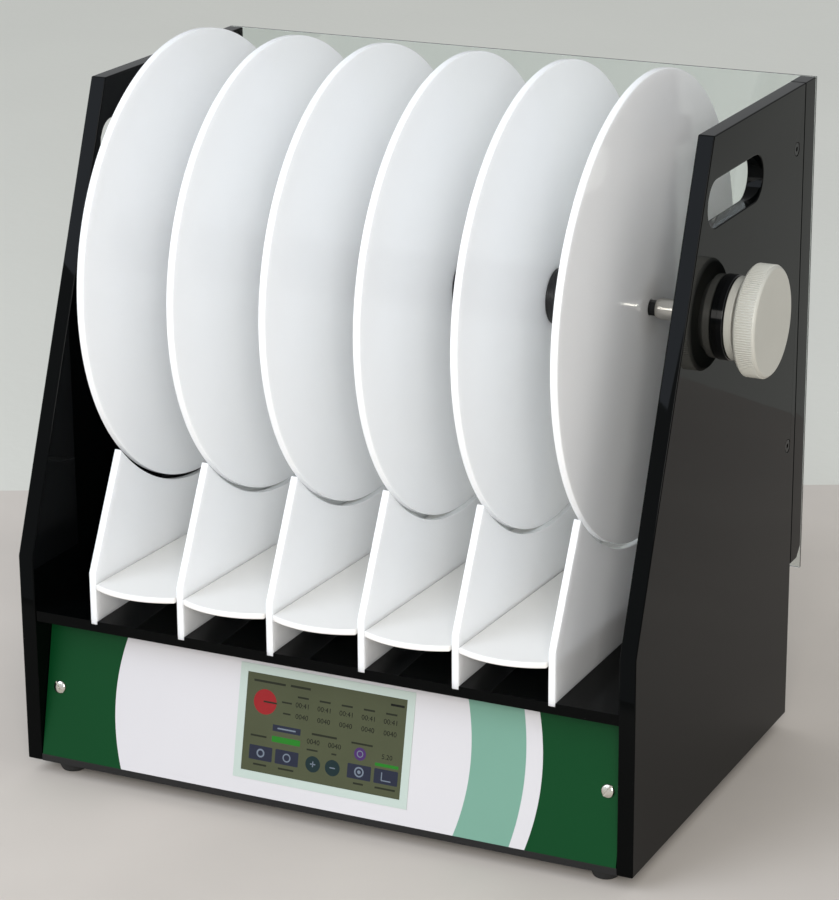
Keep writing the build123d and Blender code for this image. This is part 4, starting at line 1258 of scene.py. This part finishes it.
@dataclass
class ScreenArt:
    """Generic picture on the display: a round button, two rows of figures, bars and icon buttons."""

    panel: ControlPanel
    face: float
    film: float = 0.03 * MM

    def build(self) -> Object:
        """Builds the whole picture as one thin piece."""
        self.parts: list[Object] = []
        for row in SCREEN_DOTS:
            self.dot(*row)
        for row in SCREEN_RINGS:
            self.ring(*row, SCREEN_PALE)
        for row in SCREEN_BARS:
            self.bar(*row)
        for row in SCREEN_CAPTIONS:
            self.bar(*row, SCREEN_FAINT)
        for x, caption in SCREEN_BUTTONS:
            self.bar(x, 24.0, 13.9, 7.9, SCREEN_SLATE, 0, 0.5)
            self.bar(x, 17.6, caption, 1.0, SCREEN_FAINT)
        for i in range(5):
            x = -13.5 + 13.1 * i
            self.bar(x, 58.0, 6.6, 1.0, SCREEN_FAINT)
            self.figures("00:41", x, 53.6, 3.9)
            self.figures("0040", x, 47.4, 3.9)
        for row in SCREEN_FIGURES:
            self.figures(*row)
        return joined("display_picture", self.parts)

    def lay(
        self,
        name: str,
        loops: Sequence[Sequence[Point]],
        x: float,
        up: float,
        finish: Finish,
        layer: int,
    ) -> None:
        """Lays one flat shape on the display's face.

        Args:
            name: Name of the shape.
            loops: Outline and holes in millimetres.
            x: Place across, in millimetres.
            up: Place up the slope, in millimetres.
            finish: Its ink.
            layer: 0 on the display, 1 on top of another shape.
        """
        scaled = [[(px * MM, py * MM) for px, py in loop] for loop in loops]
        mesh = sheet_mesh(name, scaled, self.film)
        mesh.transform(self.panel.matrix(x * MM, up * MM, self.face + layer * self.film))
        mesh.materials.append(finish.material())
        self.parts.append(object_of(name, mesh))

    def bar(
        self,
        x: float,
        up: float,
        width: float,
        height: float,
        finish: Finish,
        layer: int = 0,
        soft: float = 0.2,
    ) -> None:
        """Lays a rounded bar."""
        r = min(soft, width / 2, height / 2)
        w, h = width / 2 - r, height / 2 - r
        loop: list[Point] = []
        for cx, cy, start in ((w, h, 0), (-w, h, 90), (-w, -h, 180), (w, -h, 270)):
            loop += arc((cx, cy), r, start, start + 90, 3)
        self.lay("bar", [loop], x, up, finish, layer)

    def dot(self, x: float, up: float, radius: float, finish: Finish, layer: int = 0) -> None:
        """Lays a round button."""
        self.lay("dot", [circle((0, 0), radius, 40)], x, up, finish, layer)

    def ring(self, x: float, up: float, radius: float, inner: float, finish: Finish) -> None:
        """Lays a ring on top of a button."""
        self.lay("ring", [circle((0, 0), radius, 32), circle((0, 0), inner, 32)], x, up, finish, 1)

    def figures(self, text: str, x: float, up: float, height: float) -> None:
        """Lays a group of figures, centred.

        Args:
            text: Digits to draw.
            x: Middle across, in millimetres.
            up: Middle up the slope, in millimetres.
            height: Size of the type, in millimetres.
        """
        curve = bpy.data.curves.new("figures", "FONT")
        curve.body = text
        curve.align_x = "CENTER"
        curve.align_y = "CENTER"
        curve.size = height * MM
        curve.resolution_u = 3
        made = settle(object_of("figures", curve))
        made.data.transform(self.panel.matrix(x * MM, up * MM, self.face + self.film))
        made.data.materials.clear()
        made.data.materials.append(SCREEN_DARK.material())
        self.parts.append(made)


@dataclass
class RearScreen:
    """Clear rear sheet on two black bars, with the blocks that tie them to the side panels."""

    chamfer: float = 6.0 * MM
    edge: float = 0.5 * MM
    bar_width: float = 9.0 * MM

    def build(self) -> None:
        """Builds the bars and the sheet."""
        low, high = box_of("screen_bars")
        cut = self.chamfer
        corner = [(high.y - cut, low.z), (high.y, low.z + cut)]
        outline = [(low.y, low.z), *corner, (high.y, high.z), (low.y, high.z)]
        bars = []
        for x in (low.x, high.x - self.bar_width):
            bars.append(cut_sheet("bar", [outline], self.bar_width, self.edge, BLACK_SHEET, shift=(x, 0, 0)))
        place(joined("screen_bars_polished", bars), Body.ROOT, "black_acrylic", "screen_bars")
        low, high = box_of("rear_screen")
        outline = rectangle((low.y, low.z), (high.y, high.z))
        width = high.x - low.x
        sheet = cut_sheet("clear_rear_sheet", [outline], width, 0.25 * MM, CLEAR_SHEET, shift=(low.x, 0, 0))
        place(sheet, Body.ROOT, "clear_acrylic", "rear_screen")
        dress("mounting_blocks", BLACK_MOULDED)


@dataclass
class BaseBox:
    """Base plate, feet, rear cover and its sockets, and what is inside the base."""

    foot_tip: float = 6.5 * MM
    foot_rim: float = 1.2 * MM
    foot_hollow: float = 3.5 * MM
    foot_ceiling: float = 3.0 * MM
    foot_inset_x: float = 9.5 * MM

    def build(self) -> None:
        """Builds the feet and dresses the box and its contents."""
        for node, finish in {
            "base_plate": POWDER_COAT,
            "rear_cover": POWDER_COAT,
            "power_module": BLACK_MOULDED,
            "inlet_pins": BRASS,
            "rocker_switch": BLACK_MOULDED,
            "usb_port": NICKEL,
            "main_board": BOARD,
            "power_supply": GROUND_STEEL,
        }.items():
            dress(node, finish)
        low, high = box_of("feet")
        r, tip, height = self.foot_inset_x, self.foot_tip, high.z - low.z
        hollow, ceiling = self.foot_hollow, self.foot_ceiling
        profile = [(0, hollow), (0, tip), (height - self.foot_rim, r), (height, r), (height, 0)]
        profile += [(ceiling, 0), (ceiling, hollow)]
        foot = turned("foot", profile, RUBBER, 48, 0.9 * MM)
        foot.data.transform(Matrix.Rotation(-math.pi / 2, 4, "Y"))
        places = [(x, y, low.z) for x in (low.x + r, high.x - r) for y in (low.y + r, high.y - r)]
        feet = SPOTS.make("rubber_feet", foot, RUBBER, host=spots("foot_spots", places, [(0, 0, 0)] * 4))
        place(feet, Body.ROOT, "black_rubber", "feet")


@dataclass
class BeltDrive:
    """Spindle, pulleys, belt, motor and cover in the left bay and the base."""

    def build(self) -> None:
        """Dresses the drive's nodes."""
        for node, finish in {
            "drive_spindle": GROUND_STEEL,
            "driven_pulley": MACHINED,
            "motor_pulley": MACHINED,
            "motor_shaft": GROUND_STEEL,
            "bearing_housing": MACHINED,
            "ball_bearing": GROUND_STEEL,
            "drive_belt": RUBBER,
            "belt_cover": BLACK_SHEET,
            "motor_bracket": POWDER_COAT,
            "gear_motor": NICKEL,
        }.items():
            dress(node, finish)


@dataclass
class Studio:
    """Pale floor and backdrop, soft lights and the camera."""

    eye: tuple[float, float, float] = (0.69948, -1.47379, 0.72689)
    yaw: float = 25.660
    pitch: float = -18.592
    roll: float = -0.410
    lens: float = 125.48
    sensor: float = 36.0
    shift: tuple[float, float] = (-0.0007, -0.0009)
    aim: tuple[float, float, float] = (0.0, 0.0, 0.2)
    seam_behind: float = 0.445
    half_width: float = 4.0
    floor_ahead: float = 5.0
    backdrop_behind: float = 6.0
    bright_towards: tuple[float, float, float] = (-0.62, -0.5, 0.6)
    dark_air: str = "#77756F"
    bright_air: str = "#F1F5FA"

    def build(self) -> None:
        """Builds the stage, the lights and the camera."""
        self.build_camera()
        self.build_stage()
        self.light("front", (1.1, -2.3, 1.1), 0.9, 34.0, "#FFFCF7")
        self.light("window", (-1.3, -1.9, 1.8), 1.8, 30.0, "#E3EEFF")
        self.build_air()
        bpy.context.scene.view_settings.view_transform = "Standard"

    def build_air(self) -> None:
        """Builds the room's even light, brighter towards one side."""
        world = bpy.data.worlds.new("studio_air")
        bpy.context.scene.world = world
        world.use_nodes = True
        air = world.node_tree
        aim = add(air, "ShaderNodeTexCoord").outputs["Generated"]
        side = add(air, "ShaderNodeVectorMath", {0: aim, 1: self.bright_towards}, operation="DOT_PRODUCT")
        spread = {"Value": side.outputs["Value"], 1: -1.0, 2: 1.0, 3: 0.0, 4: 1.0}
        share = add(air, "ShaderNodeMapRange", spread)
        ramp = add(air, "ShaderNodeValToRGB", {"Fac": share.outputs[0]})
        ramp.color_ramp.elements[0].color = linear(self.dark_air)
        ramp.color_ramp.elements[1].color = linear(self.bright_air)
        air.links.new(ramp.outputs[0], air.nodes["Background"].inputs["Color"])
        air.nodes["Background"].inputs["Strength"].default_value = 1.0

    def build_camera(self) -> None:
        """Builds the camera."""
        yaw, pitch, roll = (math.radians(a) for a in (self.yaw, self.pitch, self.roll))
        ahead = Vector((-math.sin(yaw) * math.cos(pitch), math.cos(yaw) * math.cos(pitch), math.sin(pitch)))
        right = Vector((math.cos(yaw), math.sin(yaw), 0.0))
        up = right.cross(ahead)
        right2 = right * math.cos(roll) + up * math.sin(roll)
        up2 = up * math.cos(roll) - right * math.sin(roll)
        data = bpy.data.cameras.new("camera")
        data.sensor_fit = "VERTICAL"
        data.sensor_height = self.sensor
        data.lens = self.lens
        data.shift_x, data.shift_y = self.shift
        data.clip_end = 50.0
        camera = bpy.data.objects.new("camera", data)
        bpy.context.scene.collection.objects.link(camera)
        turn = Matrix((right2, up2, -ahead)).transposed().to_4x4()
        camera.matrix_world = Matrix.Translation(self.eye) @ turn
        bpy.context.scene.camera = camera

    def build_stage(self) -> None:
        """Builds the cloth floor and the backdrop, which goes on flat behind it so that no view is blocked."""
        yaw = math.radians(self.yaw)
        back = Vector((-math.sin(yaw), math.cos(yaw), 0.0))
        across = Vector((math.cos(yaw), math.sin(yaw), 0.0)) * self.half_width
        seam = back * self.seam_behind
        for name, near, far, finish in (
            ("cloth_floor", seam - back * self.floor_ahead, seam, CLOTH),
            ("pale_backdrop", seam, seam + back * self.backdrop_behind, WALL_PAINT),
        ):
            corners = [near - across, near + across, far + across, far - across]
            mesh = bpy.data.meshes.new(name)
            mesh.from_pydata([tuple(c) for c in corners], [], [(0, 1, 2, 3)])
            mesh.materials.append(finish.material())
            object_of(name, mesh)

    def light(self, name: str, spot: Sequence[float], size: float, watts: float, colour: str) -> None:
        """Adds a soft square light that faces the object.

        Args:
            name: Name of the light.
            spot: Its position.
            size: Side length.
            watts: Power.
            colour: Hex colour.
        """
        data = bpy.data.lights.new(name, "AREA")
        data.shape = "SQUARE"
        data.size = size
        data.energy = watts
        data.color = linear(colour)[:3]
        lamp = bpy.data.objects.new(name, data)
        bpy.context.scene.collection.objects.link(lamp)
        lamp.location = spot
        lamp.rotation_euler = (Vector(self.aim) - Vector(spot)).to_track_quat("-Z", "Y").to_euler()


def main() -> None:
    """Builds the studio and every sub-assembly."""
    logging.basicConfig(level=logging.INFO, format="%(name)s: %(message)s")
    for part in (
        Studio(),
        SideFrame(),
        LaneDeck(),
        TripTrays(),
        Rotor(),
        KnobGroup(),
        ControlPanel(),
        RearScreen(),
        BaseBox(),
        BeltDrive(),
    ):
        LOG.info("building %s", type(part).__name__)
        part.build()


if __name__ == "__main__":
    main()
